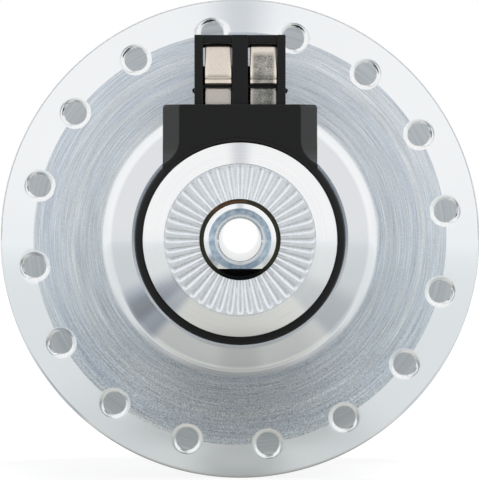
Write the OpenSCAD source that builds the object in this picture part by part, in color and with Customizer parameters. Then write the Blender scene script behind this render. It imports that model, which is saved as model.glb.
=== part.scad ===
// Hub dynamo for a quick-release front wheel, 100 mm wide over its dropout faces.
// The shell with its two spoke flanges and the magnets turns on the fixed axle, which carries the coil,
// the claw poles and a two-pole plug connector on the right-hand side.
//
// Each piece is drawn with the axle along its own +z, the connector end at +z and the connector up (+y).
// on_axle() lays the finished piece down: the axle along Y, the connector end at -Y, the connector up (+Z).

/* [Axle] */
// Distance between the two dropout faces
over_locknut = 100; // [97:1:108]
// How far each axle end stands past its dropout face
axle_end_length = 4; // [3:0.5:6]
// Diameter of the axle ends that sit in the dropouts
axle_end_d = 9; // [8.8:0.1:9.3]
// Bore for the quick-release skewer
skewer_bore_d = 5.3; // [5:0.1:5.6]
// Distance from the axis to the flat along each axle end
axle_flat_height = 3.6; // [3.4:0.1:4]
// Diameter of the thread that takes the end nuts
axle_thread_d = 10; // [9.8:0.1:10.4]
// Height of the axle shoulder that an inner race rests on
race_shoulder = 1; // [0.7:0.1:1.2]
// Chamfer on the axle tips
axle_tip_chamfer = 0.6; // [0.3:0.1:0.8]

/* [Bearings] */
// Bore of each ball bearing
bearing_bore_d = 15; // [14.6:0.1:15.4]
// Outer diameter of each ball bearing
bearing_outer_d = 28; // [27:0.1:28.6]
// Width of each ball bearing
bearing_width = 7; // [6:0.1:7.5]
// Diameter of the balls
ball_d = 3.97; // [3.6:0.01:4.1]
// Balls in each bearing
ball_count = 11; // [9:1:12]
// How far each bearing's middle lies outside its flange's middle
bearing_offset = 0.5; // [0:0.1:1]

/* [Shell] */
// Diameter of the spoke flanges
flange_d = 62.5; // [60.5:0.5:66]
// Thickness of a flange at the spoke holes
flange_t = 3.2; // [2.8:0.1:3.6]
// Distance between the middles of the two flanges
flange_spacing = 50; // [47:0.5:52]
// How far the brushed face rises from the spoke circle to the foot of the boss
face_rise = 1.9; // [1.2:0.1:2.4]
// How far the bright outer band falls from the spoke circle to the rim
band_fall = 0.7; // [0.3:0.1:0.9]
// Diameter of the boss at its foot
boss_d = 34; // [33:0.5:35]
// Fillet at the foot of the boss
boss_fillet = 1.3; // [0.6:0.1:1.5]
// Slope of the boss, measured from the flange's plane
boss_slope = 45; // [40:1:50]
// Diameter of the nose that holds the shaft seal
nose_d = 27.8; // [27:0.1:28]
// Wall of the nose
nose_wall = 1.2; // [1:0.1:1.4]
// Outer diameter of the barrel between the flanges
barrel_d = 47; // [46.4:0.2:47.6]
// Wall of the barrel
barrel_wall = 2; // [1.8:0.1:2.2]
// Fillet where the barrel meets a flange
root_fillet = 1.4; // [0.8:0.1:1.4]
// Thickness of the disc between the barrel and the bearing seat
disc_t = 3.2; // [2.8:0.1:3.6]
// Wall around each bearing
seat_wall = 2.5; // [2:0.1:2.8]
// Length of barrel that belongs to the screwed-on cover
collar_length = 2.4; // [2:0.1:3]
// Length of the cover's spigot inside the barrel
spigot_length = 4.5; // [4:0.1:5]
// Wall of the cover's spigot
spigot_wall = 2; // [1.8:0.1:2.4]
// Cord diameter of the O-ring between shell and cover
o_ring_d = 1.1; // [0.9:0.1:1.3]

/* [Spoke holes] */
// Diameter of the spoke circle
spoke_circle_d = 54; // [53:0.5:55]
// Spoke holes in each flange
spoke_count = 16; // [10:2:18]
// Diameter of a spoke hole
spoke_hole_d = 3; // [2.4:0.1:3.2]
// Chamfer on both ends of a spoke hole
spoke_chamfer = 0.45; // [0.2:0.05:0.6]
// Angle from the horizontal to the first spoke hole, seen from the connector end
spoke_angle = 7.7; // [0:0.1:22.5]

/* [Generator] */
// Magnet pole pairs
pole_pairs = 13; // [11:1:14]
// Length of the stator over its two claw plates
stator_length = 28; // [26:0.5:29]
// Thickness of a claw plate
claw_plate_t = 2.2; // [1.8:0.1:2.6]
// Thickness of the claws
claw_t = 1.6; // [1.3:0.1:1.8]
// Share of a pole pitch that a claw fills
claw_share = 0.68; // [0.55:0.01:0.75]
// Air gap between claws and magnets
air_gap = 0.5; // [0.4:0.05:0.7]
// Thickness of the magnets
magnet_t = 2; // [1.6:0.1:2.2]
// Wall of the back iron ring behind the magnets
back_iron_t = 1.6; // [1.3:0.1:1.8]
// Wall of the iron core tube inside the coil
core_wall = 2; // [1.6:0.1:2.4]
// Wall of the coil bobbin
bobbin_wall = 0.8; // [0.6:0.1:1]
// Length of the nut that clamps the stator
stator_nut_length = 3.5; // [3:0.1:4]
// Outer diameter of a lead wire
wire_d = 0.9; // [0.7:0.05:1]

/* [Ends] */
// Thickness of the end nuts, back face to dropout face
end_nut_t = 6; // [5:0.1:7]
// Slope of the end nut's cone, measured from the dropout face
nut_slope = 30; // [25:1:35]
// Diameter of the serrated dropout face
serration_d = 19.1; // [18:0.1:20]
// Number of serrations
serration_count = 44; // [36:1:48]
// Width of a serration
serration_w = 0.6; // [0.5:0.05:0.7]
// Depth of the serrations
serration_depth = 0.13; // [0.1:0.01:0.16]
// Thickness of the end ring's web behind the nut
ring_web_t = 2; // [1.8:0.1:2.4]
// How far the end ring's lip stands up around the nut
ring_lip_h = 2.5; // [2:0.1:2.8]
// Width of the end ring's lip
ring_lip_w = 1; // [0.8:0.1:1.2]
// Wall of the spacer sleeves
sleeve_wall = 1.5; // [1.3:0.1:1.6]
// Thickness of the collar on each spacer sleeve
sleeve_collar_t = 1.5; // [1.2:0.1:2]
// Axial length of the shaft seals
seal_length = 4.5; // [3.5:0.1:5]

/* [Connector] */
// Width of the connector block over its back
block_w = 19.5; // [18.5:0.1:20.5]
// Height of the block's top above the axis
block_top = 17; // [16.5:0.1:18]
// Depth of the block
block_depth = 8.5; // [7.5:0.1:9]
// How much each side of the block's front face is bevelled back
block_bevel = 2.1; // [1.5:0.1:2.4]
// Radius at which the block's front face runs into the ring
block_flare = 3.5; // [3:0.1:4]
// Width of the plug frame
frame_w = 11.5; // [11.3:0.1:12.2]
// Height of the plug frame's top above the axis
frame_top = 25.8; // [25.2:0.1:26.6]
// Height of the ledge across the top of the frame
ledge_h = 1.2; // [0.9:0.1:1.4]
// Distance between the two terminals
terminal_pitch = 5.7; // [5.6:0.05:5.9]
// Width of a terminal
terminal_w = 3.35; // [3:0.05:3.4]
// Thickness of the terminal strip
strip_t = 0.5; // [0.4:0.05:0.6]
// Length of a terminal's folded contact
contact_length = 4.8; // [4.4:0.1:5]
// Depth of a terminal's folded contact
contact_depth = 2.2; // [2:0.1:2.4]
// Clear space on each side of a terminal in its slot
slot_gap = 0.16; // [0.1:0.02:0.2]

/* [Hidden] */
$fn = 96;

// Clearances: between pressed or screwed pieces, between running pieces and between races and balls
fit = 0.02;
running_gap = 0.5;
ball_play = 0.015;
lip_gap = 0.05;
ring_step = 0.6;

// Radii that follow from the diameters above
axle_end_r = axle_end_d / 2;
thread_r = axle_thread_d / 2 - 0.05;
relief_r = axle_end_r - 0.2;
axle_bore_chamfer = 0.25;
bearing_bore_r = bearing_bore_d / 2;
bearing_outer_r = bearing_outer_d / 2;
stator_seat_r = bearing_bore_r + race_shoulder;
flange_r = flange_d / 2;
spoke_circle_r = spoke_circle_d / 2;
spoke_hole_r = spoke_hole_d / 2;
band_r = spoke_circle_r - 0.1;
boss_r = boss_d / 2;
nose_r = nose_d / 2;
nose_in_r = nose_r - nose_wall;
barrel_r = barrel_d / 2;
barrel_in_r = barrel_r - barrel_wall;
wire_r = wire_d / 2;

// Stations along the axle, from the middle out
face_z = over_locknut / 2;
tip_z = face_z + axle_end_length;
flange_mid_z = flange_spacing / 2;
flange_in_z = flange_mid_z - flange_t / 2;
flange_out_z = flange_mid_z + flange_t / 2;
boss_foot_z = flange_out_z + face_rise;
bearing_mid_z = flange_mid_z + bearing_offset;
bearing_in_z = bearing_mid_z - bearing_width / 2;
bearing_out_z = bearing_mid_z + bearing_width / 2;
joint_z = flange_in_z - collar_length;
spigot_end_z = joint_z - spigot_length;
o_ring_z = joint_z - 1.6;
nut_back_z = face_z - end_nut_t;
ring_back_z = nut_back_z - ring_web_t;
ring_front_z = nut_back_z + ring_lip_h;
nose_top_z = ring_back_z - running_gap;
seat_end_z = (bearing_out_z + ring_back_z) / 2;
thread_end_z = face_z - 1.5;
stator_half = stator_length / 2;
core_half = stator_half - claw_plate_t;
stator_nut_end_z = stator_half + stator_nut_length;

// Bearing races and balls
ball_r = ball_d / 2;
ball_circle_r = (bearing_bore_r + bearing_outer_r) / 2;
race_half_gap = 0.214 * (bearing_outer_r - bearing_bore_r);
inner_race_r = ball_circle_r - race_half_gap;
outer_race_r = ball_circle_r + race_half_gap;
groove_r = 1.04 * ball_r;
shield_t = 0.5;
shield_inset = 0.2;

// Generator radii, from the barrel inwards
back_iron_r = barrel_in_r - fit;
magnet_r = back_iron_r - back_iron_t - fit;
magnet_in_r = magnet_r - magnet_t;
claw_r = magnet_in_r - air_gap;
claw_in_r = claw_r - claw_t;
bobbin_r = claw_in_r - 0.3;
coil_r = bobbin_r - 0.2;
core_r = stator_seat_r + core_wall;
coil_in_r = core_r + bobbin_wall;
pole_deg = 180 / pole_pairs;
claw_deg = claw_share * pole_deg;
magnet_half = stator_half - 1;

// End pieces
sleeve_r = bearing_bore_r + sleeve_wall;
sleeve_collar_r = nose_in_r - running_gap;
ring_r = nose_r - ring_step;
ring_lip_in_r = ring_r - ring_lip_w;
ring_web_in_r = sleeve_r + lip_gap;
nut_r = ring_lip_in_r - 0.1;
serration_r = serration_d / 2;
serration_in_r = axle_thread_d / 2 + 0.45;
nut_mouth_r = axle_thread_d / 2 + 0.1;

// Lead wires: along the stator, down to the slot in the axle, out under the bearing and up to the terminals
wire_bend = 1.2;
wire_x = wire_d / 2 + 0.2;
wire_slot_floor = bearing_bore_r - wire_d - 0.7;
wire_low_y = wire_slot_floor + wire_r + 0.35;
wire_high_y = (coil_in_r + coil_r) / 2;
wire_turn_z = (stator_nut_end_z + bearing_in_z) / 2;
wire_rise_z = (ring_back_z + nut_back_z) / 2;
wire_start_z = core_half - fit - bobbin_wall;

// Plug connector
block_half = block_w / 2;
block_front_half = block_half - block_bevel;
block_back_z = ring_front_z - block_depth;
frame_half = frame_w / 2;
frame_front_z = ring_front_z - 0.5;
frame_back_z = block_back_z + 0.5;
slot_half = terminal_w / 2 + slot_gap;
strip_back_z = wire_rise_z - strip_t / 2;
strip_front_z = wire_rise_z + strip_t / 2;
ledge_front_z = frame_front_z - 0.5;
back_wall_front_z = frame_back_z + 1.5;
contact_top = frame_top - ledge_h - 0.3;
contact_low = contact_top - contact_length;
contact_front_z = strip_back_z + contact_depth;
contact_bend = 0.75;
foot_low = ring_r + 0.2;
foot_high = foot_low + 1.4;
solder_gap = 0.02;
tab_gap = 0.45;
tab_corner = 0.5;
tab_sink = 0.1;

// Points along an arc about centre c, from angle a0 to a1 in n steps
function arc(c, r, a0, a1, n) =
    [for (i = [0:n]) let (a = a0 + (a1 - a0) * i / n) [c[0] + r * cos(a), c[1] + r * sin(a)]];

// Height of the brushed flange face at radius r
function face_z_at(r) = flange_out_z + face_rise * (band_r - r) / (band_r - boss_r);

module on_axle() rotate([90, 0, 0]) children();
module left_side() mirror([0, 0, 1]) children();
module ring_of(count, first = 0) for (i = [0:count - 1]) rotate([0, 0, first + i * 360 / count]) children();
module tube(r, hole_r, z0, z1) rotate_extrude() translate([hole_r, z0]) square([r - hole_r, z1 - z0]);

// Axle: hollow, stepped for the bearings, threaded for the end nuts, with a flat along each end
// and a slot along the top of the connector end for the lead wires
function axle_half_points() = [
    [stator_seat_r, bearing_in_z],
    [bearing_bore_r, bearing_in_z],
    [bearing_bore_r, seat_end_z],
    [thread_r, seat_end_z],
    [thread_r, thread_end_z],
    [relief_r, thread_end_z],
    [relief_r, face_z],
    [axle_end_r, face_z],
    [axle_end_r, tip_z - axle_tip_chamfer],
    [axle_end_r - axle_tip_chamfer, tip_z],
    [skewer_bore_d / 2 + axle_bore_chamfer, tip_z],
    [skewer_bore_d / 2, tip_z - axle_bore_chamfer]
];

module axle_body() {
    right = axle_half_points();
    left = [for (i = [len(right) - 1:-1:0]) [right[i][0], -right[i][1]]];
    rotate_extrude() polygon(concat(right, left));
}

module axle_end_flat() {
    translate([-axle_thread_d, -axle_flat_height - axle_thread_d, seat_end_z])
        cube([2 * axle_thread_d, axle_thread_d, tip_z - seat_end_z + 1]);
}

module wire_slot() {
    slot_w = 2 * (wire_x + wire_r) + 0.4;
    translate([-slot_w / 2, wire_slot_floor, stator_nut_end_z + 0.3])
        cube([slot_w, stator_seat_r, seat_end_z - stator_nut_end_z]);
}

module axle() {
    shoulder_r = stator_seat_r + core_wall;
    color("silver") on_axle() difference() {
        union() {
            axle_body();
            left_side() tube(shoulder_r, stator_seat_r - 1, stator_half, stator_half + stator_nut_length);
        }
        axle_end_flat();
        left_side() axle_end_flat();
        wire_slot();
    }
}

// Stator: core tube, bobbin, coil and two claw plates clamped on the axle by a hexagon nut
module stator_core() {
    color("dimgray") on_axle() tube(core_r, stator_seat_r + fit, -core_half, core_half);
}

module coil_bobbin() {
    end_z = core_half - fit;
    color("ivory") on_axle() difference() {
        union() {
            tube(coil_in_r, core_r + fit, -end_z, end_z);
            for (z = [-end_z, end_z - bobbin_wall])
                tube(bobbin_r, coil_in_r - bobbin_wall / 2, z, z + bobbin_wall);
        }
        wire_holes_along_axle(end_z - 2 * bobbin_wall, end_z + 1);
    }
}

module coil_winding() {
    end_z = core_half - bobbin_wall - 2 * fit;
    color("peru") on_axle() tube(coil_r, coil_in_r + fit, -end_z, end_z);
}

// Cup with its wall slotted into claws; the middle of the first claw is at first_deg
module claw_plate(first_deg) {
    claw_tip_z = 1.2 - core_half;
    slot_floor_r = claw_in_r - 0.1;
    slot_deg = 2 * pole_deg - claw_deg;
    difference() {
        rotate_extrude() polygon([
            [stator_seat_r + fit, core_half],
            [claw_in_r, core_half],
            [claw_in_r, claw_tip_z],
            [claw_r, claw_tip_z],
            [claw_r, stator_half],
            [stator_seat_r + fit, stator_half]
        ]);
        ring_of(pole_pairs, first_deg + claw_deg / 2)
            rotate_extrude(angle = slot_deg)
                translate([slot_floor_r, -stator_length]) square([2 * claw_t, 2 * stator_length]);
    }
}

module left_claw_plate() {
    color("slategray") on_axle() left_side() claw_plate(90);
}

module right_claw_plate() {
    color("slategray") on_axle() difference() {
        claw_plate(90 + pole_deg);
        wire_holes_along_axle(core_half - 1, stator_half + 1);
    }
}

module stator_nut() {
    nut_r6 = core_r + 1;
    color("gainsboro") on_axle() difference() {
        translate([0, 0, stator_half]) cylinder(r = nut_r6, h = stator_nut_length, $fn = 6);
        translate([0, 0, stator_half - 1]) cylinder(r = stator_seat_r + fit, h = stator_nut_length + 2);
    }
}

// Lead wires: straight runs joined by quarter bends in the upright plane of each wire
module wire_holes_along_axle(z0, z1) {
    for (side = [-1, 1])
        translate([side * wire_x, wire_high_y, z0]) cylinder(r = wire_r + 0.1, h = z1 - z0);
}

module wire_run_z(y, z0, z1) translate([0, y, z0]) cylinder(r = wire_r, h = z1 - z0);
module wire_run_y(z, y0, y1) translate([0, y0, z]) rotate([-90, 0, 0]) cylinder(r = wire_r, h = y1 - y0);

// Quarter bend about (y, z); start is where it begins, counted from +y towards +z
module wire_corner(y, z, start) {
    translate([0, y, z]) rotate([90, 0, 90]) rotate([0, 0, start])
        rotate_extrude(angle = 90) translate([wire_bend, 0]) circle(r = wire_r);
}

module lead_wire(side) {
    translate([side * wire_x, 0, 0]) {
        wire_run_z(wire_high_y, wire_start_z, wire_turn_z - wire_bend);
        wire_corner(wire_high_y - wire_bend, wire_turn_z - wire_bend, 0);
        wire_run_y(wire_turn_z, wire_low_y + wire_bend, wire_high_y - wire_bend);
        wire_corner(wire_low_y + wire_bend, wire_turn_z + wire_bend, 180);
        wire_run_z(wire_low_y, wire_turn_z + wire_bend, wire_rise_z - wire_bend);
        wire_corner(wire_low_y + wire_bend, wire_rise_z - wire_bend, 90);
        wire_run_y(wire_rise_z, wire_low_y + wire_bend, foot_low - solder_gap);
    }
}

module live_lead_wire() {
    color("firebrick") on_axle() lead_wire(-1);
}

module return_lead_wire() {
    color("black") on_axle() lead_wire(1);
}

// Ball bearings: races with round grooves, balls, a pocketed cage and two rubber shields
module race(r0, r1, groove_middle_r) {
    rotate_extrude() difference() {
        translate([r0, bearing_in_z]) square([r1 - r0, bearing_width]);
        translate([groove_middle_r, bearing_mid_z]) circle(r = groove_r);
    }
}

module inner_race() {
    race(bearing_bore_r + fit / 2, inner_race_r, ball_circle_r - ball_r - ball_play + groove_r);
}

module outer_race() {
    race(outer_race_r, bearing_outer_r, ball_circle_r + ball_r + ball_play - groove_r);
}

module balls() {
    ring_of(ball_count, 90) translate([ball_circle_r, 0, bearing_mid_z]) sphere(r = ball_r);
}

module ball_cage() {
    cage_half_w = 0.62 * ball_d;
    difference() {
        tube(ball_circle_r + 0.35 * ball_r, ball_circle_r - 0.35 * ball_r,
            bearing_mid_z - cage_half_w, bearing_mid_z + cage_half_w);
        ring_of(ball_count, 90) translate([ball_circle_r, 0, bearing_mid_z]) rotate([0, 90, 0])
            cylinder(r = ball_r + lip_gap, h = ball_d, center = true);
    }
}

module bearing_shields() {
    for (z = [bearing_in_z + shield_inset, bearing_out_z - shield_inset - shield_t])
        tube(outer_race_r - fit, inner_race_r + 0.15, z, z + shield_t);
}

module left_inner_race() color("lightgray") on_axle() left_side() inner_race();
module right_inner_race() color("lightgray") on_axle() inner_race();
module left_outer_race() color("lightgray") on_axle() left_side() outer_race();
module right_outer_race() color("lightgray") on_axle() outer_race();
module left_balls() color("whitesmoke") on_axle() left_side() balls();
module right_balls() color("whitesmoke") on_axle() balls();
module left_ball_cage() color("goldenrod") on_axle() left_side() ball_cage();
module right_ball_cage() color("goldenrod") on_axle() ball_cage();
module left_bearing_shields() color("dimgray") on_axle() left_side() bearing_shields();
module right_bearing_shields() color("dimgray") on_axle() bearing_shields();

// Spacer sleeves: carry the seal lips, take the end nuts' thrust to the inner races
module spacer_sleeve() {
    rotate_extrude() polygon([
        [bearing_bore_r + fit, bearing_out_z],
        [sleeve_r, bearing_out_z],
        [sleeve_r, ring_back_z - sleeve_collar_t],
        [sleeve_collar_r, ring_back_z - sleeve_collar_t],
        [sleeve_collar_r, ring_back_z],
        [sleeve_r, ring_back_z],
        [sleeve_r, nut_back_z],
        [bearing_bore_r + fit, nut_back_z]
    ]);
}

module left_spacer_sleeve() {
    color("silver") on_axle() left_side() spacer_sleeve();
}

module right_spacer_sleeve() {
    notch_w = 2 * (wire_x + wire_r) + 0.4;
    color("silver") on_axle() difference() {
        spacer_sleeve();
        translate([-notch_w / 2, 0, wire_rise_z - wire_r - 0.2])
            cube([notch_w, sleeve_collar_r + 1, nut_back_z - wire_rise_z + wire_r + 1]);
    }
}

// End nuts: the dropout faces, with radial grooves whose edges bite into the fork
module serrations() {
    top = serration_w;
    floor_half = serration_w / 5;
    rise = serration_depth * (top - floor_half) / (serration_w / 2 - floor_half);
    ring_of(serration_count, 90)
        translate([serration_in_r, 0, face_z - serration_depth]) rotate([90, 0, 90])
            linear_extrude(serration_r)
                polygon([[-floor_half, 0], [floor_half, 0], [top, rise], [-top, rise]]);
}

module end_nut() {
    cone_top_z = face_z - 0.35;
    mouth_z = thread_end_z - 0.2;
    difference() {
        rotate_extrude() polygon([
            [thread_r + fit, nut_back_z],
            [nut_r, nut_back_z],
            [nut_r, cone_top_z - (nut_r - serration_r - 0.15) * tan(nut_slope)],
            [serration_r + 0.15, cone_top_z],
            [serration_r, face_z],
            [nut_mouth_r, face_z],
            [nut_mouth_r, mouth_z],
            [thread_r + fit, mouth_z]
        ]);
        serrations();
    }
}

module left_end_nut() color("gainsboro") on_axle() left_side() end_nut();
module right_end_nut() color("gainsboro") on_axle() end_nut();

// End rings: a web clamped behind the nut and a lip around it; the right-hand one is the connector's root
module end_ring() {
    edge = 0.2;
    rotate_extrude() polygon([
        [ring_web_in_r, ring_back_z],
        [ring_r, ring_back_z],
        [ring_r, ring_front_z - edge],
        [ring_r - edge, ring_front_z],
        [ring_lip_in_r, ring_front_z],
        [ring_lip_in_r, nut_back_z],
        [ring_web_in_r, nut_back_z]
    ]);
}

module left_end_ring() color([0.15, 0.15, 0.16]) on_axle() left_side() end_ring();

// Side bevel of the block: a cone drawn upwards, so that the front face flares into the ring
module bevel_cutter() {
    flare_x = block_front_half + block_flare;
    flare_y = sqrt(pow(ring_r + block_flare, 2) - pow(flare_x, 2));
    small_r = block_flare - block_bevel;
    hull()
        for (y = [flare_y, block_top + block_flare])
            translate([flare_x, y, ring_front_z - block_bevel])
                cylinder(r1 = small_r, r2 = block_flare + 1, h = block_bevel + 1, $fn = 32);
}

module connector_block() {
    low_y = sqrt(pow(ring_r, 2) - pow(block_half, 2)) - 0.2;
    difference() {
        translate([-block_half, low_y, block_back_z]) cube([block_w, block_top - low_y, block_depth]);
        translate([0, 0, block_back_z - 1])
            cylinder(r = nose_r + running_gap + 0.2, h = ring_back_z - block_back_z + 1);
        translate([0, 0, ring_back_z]) cylinder(r = ring_lip_in_r, h = block_depth);
        for (side = [0, 1]) mirror([side, 0, 0]) bevel_cutter();
    }
}

module plug_frame() {
    overlap = 1;
    nub_r = 0.35;
    difference() {
        translate([-frame_half, block_top - overlap, frame_back_z])
            cube([frame_w, frame_top - block_top + overlap, frame_front_z - frame_back_z]);
        for (x = [-terminal_pitch / 2, terminal_pitch / 2]) {
            translate([x - slot_half, block_top, ledge_front_z])
                cube([2 * slot_half, frame_top, block_depth]);
            translate([x - slot_half, block_top, back_wall_front_z])
                cube([2 * slot_half, frame_top - ledge_h - block_top, block_depth]);
            translate([x - slot_half, (block_top + frame_top) / 2 + 0.6, frame_back_z - 1])
                cube([2 * slot_half, (frame_top - block_top) / 2 - ledge_h - 0.6, block_depth]);
        }
    }
    for (x = [-frame_half, frame_half])
        translate([x, block_top + 1.6, frame_back_z + 1])
            cylinder(r = nub_r, h = frame_front_z - frame_back_z - 2);
}

module connector_housing() {
    color([0.12, 0.12, 0.13]) on_axle() difference() {
        union() {
            end_ring();
            connector_block();
            plug_frame();
        }
        for (side = [-1, 1]) {
            translate([side * wire_x, 0, wire_rise_z]) rotate([-90, 0, 0])
                cylinder(r = wire_r + lip_gap, h = foot_high);
            translate([0, 0, strip_back_z - fit]) linear_extrude(strip_t + 2 * fit) foot_outline(side, fit);
            translate([side * terminal_pitch / 2, block_top, strip_back_z + strip_t])
                cube([terminal_w + 2 * fit, 2 * (strip_t + fit), 2 * strip_t], center = true);
        }
    }
}

// Terminals: a flat strip out of the block, folded over at its tip into a sprung contact.
// Inside the block its foot reaches across to the lead wire.
module foot_outline(side, grow) {
    foot_in_x = 0.15 - grow;
    foot_out_x = terminal_pitch / 2 + terminal_w / 2 + grow;
    mirror([side < 0 ? 1 : 0, 0]) polygon([
        [foot_in_x, foot_low - grow],
        [foot_out_x, foot_low - grow],
        [foot_out_x, block_top + grow],
        [foot_out_x - terminal_w - 2 * grow, block_top + grow],
        [foot_out_x - terminal_w - 2 * grow, foot_high + grow],
        [foot_in_x, foot_high + grow]
    ]);
}

module folded_strip_outline() {
    outer = contact_bend;
    inner = max(contact_bend - strip_t, 0.1);
    lean = atan((contact_depth - 2 * outer) / (contact_length - 2 * outer));
    top_c = [contact_top - outer, strip_back_z + outer];
    low_c = [contact_low + outer, contact_front_z - outer];
    open_z = strip_front_z + strip_t;
    root_y = block_top - strip_t;
    difference() {
        polygon(concat(
            [[root_y, strip_back_z]],
            arc(top_c, outer, -90, 90 - lean, 10),
            arc(low_c, outer, 90 - lean, 180, 6),
            [[contact_low, open_z], [root_y, open_z]]
        ));
        polygon(concat(
            [[root_y - strip_t, strip_front_z]],
            arc(top_c, inner, -90, 90 - lean, 10),
            arc(low_c, inner, 90 - lean, 180, 6),
            [[root_y - strip_t, low_c[1]]]
        ));
    }
}

// Short tab with round corners, folded against the front of the strip below its contact
module stop_tab_outline() {
    half = terminal_w / 2;
    top = contact_low - tab_gap;
    polygon(concat(
        [[-half, block_top - strip_t], [half, block_top - strip_t]],
        arc([half - tab_corner, top - tab_corner], tab_corner, 0, 90, 4),
        arc([tab_corner - half, top - tab_corner], tab_corner, 90, 180, 4)
    ));
}

module terminal(side) {
    x = side * terminal_pitch / 2;
    translate([0, 0, strip_back_z]) linear_extrude(strip_t) foot_outline(side, 0);
    translate([x, 0, strip_front_z - tab_sink]) linear_extrude(strip_t) stop_tab_outline();
    translate([x - terminal_w / 2, 0, 0]) rotate([90, 0, 90])
        linear_extrude(terminal_w) folded_strip_outline();
}

module live_terminal() color("wheat") on_axle() terminal(-1);
module return_terminal() color("wheat") on_axle() terminal(1);

// Shell and cover share the same outer face: nose, boss, brushed face, bright band and rim.
// The points run from the bearing seat out over the nose and down to the flange's inner face.
function end_face_points() = let (
    seat_r = bearing_outer_r + fit / 2,
    slope_top_z = boss_foot_z + (boss_r - nose_r) * tan(boss_slope),
    face_deg = atan(face_rise / (band_r - boss_r)),
    turn = boss_slope - face_deg,
    reach = boss_fillet * tan(turn / 2),
    fillet_r = boss_r + reach * cos(face_deg) + boss_fillet * sin(face_deg),
    fillet_z = boss_foot_z - reach * sin(face_deg) + boss_fillet * cos(face_deg),
    rim_z = flange_out_z - band_fall,
    rim_round = 0.5,
    nose_edge = 0.25
) concat(
    [
        [seat_r, bearing_in_z - 0.5],
        [seat_r, bearing_out_z],
        [nose_in_r, bearing_out_z],
        [nose_in_r, nose_top_z],
        [nose_r - nose_edge, nose_top_z],
        [nose_r, nose_top_z - nose_edge],
        [nose_r, slope_top_z]
    ],
    arc([fillet_r, fillet_z], boss_fillet, 270 - boss_slope, 270 - face_deg, 6),
    [[band_r, flange_out_z]],
    arc([flange_r - rim_round, rim_z - rim_round], rim_round, 80, 0, 4),
    arc([flange_r - rim_round, flange_in_z + rim_round], rim_round, 0, -90, 4)
);

module spoke_hole_cutter() {
    cone_h = spoke_chamfer + 1;
    cylinder(r = spoke_hole_r, h = 4 * flange_t, center = true);
    translate([0, 0, flange_t / 2 - spoke_chamfer - band_fall / 4])
        cylinder(r1 = spoke_hole_r, r2 = spoke_hole_r + cone_h, h = cone_h);
    translate([0, 0, -flange_t / 2 - 1])
        cylinder(r1 = spoke_hole_r + cone_h, r2 = spoke_hole_r, h = cone_h);
}

module spoke_holes(first_deg) {
    ring_of(spoke_count, first_deg) translate([spoke_circle_r, 0, flange_mid_z]) spoke_hole_cutter();
}

// Hub shell: left flange, bearing seat and the barrel, which is open to the right
module hub_shell() {
    pocket_r = bearing_outer_r + seat_wall;
    color("lightsteelblue") on_axle() left_side() difference() {
        rotate_extrude() polygon(concat(
            end_face_points(),
            arc([barrel_r + root_fillet, flange_in_z - root_fillet], root_fillet, 90, 180, 6),
            [
                [barrel_r, -joint_z],
                [barrel_in_r, -joint_z],
                [barrel_in_r, face_z_at(barrel_in_r) - disc_t],
                [pocket_r, boss_foot_z - disc_t],
                [pocket_r, bearing_in_z - 0.5]
            ]
        ));
        spoke_holes(spoke_angle + 180 / spoke_count);
    }
}

// Shell cover: right flange and bearing seat, screwed into the barrel with a spigot and an O-ring
module shell_cover() {
    pocket_r = bearing_outer_r + seat_wall;
    spigot_r = barrel_in_r - fit;
    spigot_in_r = spigot_r - spigot_wall;
    groove_floor_r = barrel_in_r - o_ring_d - 2 * fit;
    groove_half = o_ring_d / 2 + 0.15;
    color("lightsteelblue") on_axle() difference() {
        rotate_extrude() polygon(concat(
            end_face_points(),
            arc([barrel_r + root_fillet, flange_in_z - root_fillet], root_fillet, 90, 180, 6),
            [
                [barrel_r, joint_z],
                [spigot_r, joint_z],
                [spigot_r, o_ring_z + groove_half],
                [groove_floor_r, o_ring_z + groove_half],
                [groove_floor_r, o_ring_z - groove_half],
                [spigot_r, o_ring_z - groove_half],
                [spigot_r, spigot_end_z],
                [spigot_in_r, spigot_end_z],
                [spigot_in_r, face_z_at(spigot_in_r) - disc_t],
                [pocket_r, boss_foot_z - disc_t],
                [pocket_r, bearing_in_z - 0.5]
            ]
        ));
        spoke_holes(spoke_angle);
    }
}

module shell_o_ring() {
    color("black") on_axle() rotate_extrude()
        translate([barrel_in_r - o_ring_d / 2 - fit, o_ring_z]) circle(d = o_ring_d);
}

// Rotor: a steel ring in the barrel with the magnets bonded inside it
module back_iron_ring() {
    color("darkgray") on_axle() tube(back_iron_r, back_iron_r - back_iron_t, -stator_half, stator_half);
}

module rotor_magnets() {
    magnet_deg = pole_deg - 0.7;
    color("gray") on_axle() ring_of(2 * pole_pairs, 90 - magnet_deg / 2)
        rotate_extrude(angle = magnet_deg)
            translate([magnet_in_r, -magnet_half]) square([magnet_t, 2 * magnet_half]);
}

// Shaft seals: rubber rings in the noses whose lips run on the spacer sleeves
module shaft_seal() {
    seal_r = nose_in_r - fit;
    body_in_r = (seal_r + sleeve_r) / 2;
    out_z = nose_top_z - 1.5;
    rotate_extrude() polygon([
        [seal_r, out_z - seal_length],
        [seal_r, out_z],
        [body_in_r, out_z],
        [sleeve_r + lip_gap, out_z - 0.3],
        [sleeve_r + lip_gap, out_z - 1],
        [body_in_r, out_z - 1.8],
        [body_in_r, out_z - seal_length]
    ]);
}

module left_shaft_seal() color("black") on_axle() left_side() shaft_seal();
module right_shaft_seal() color("black") on_axle() shaft_seal();

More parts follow.
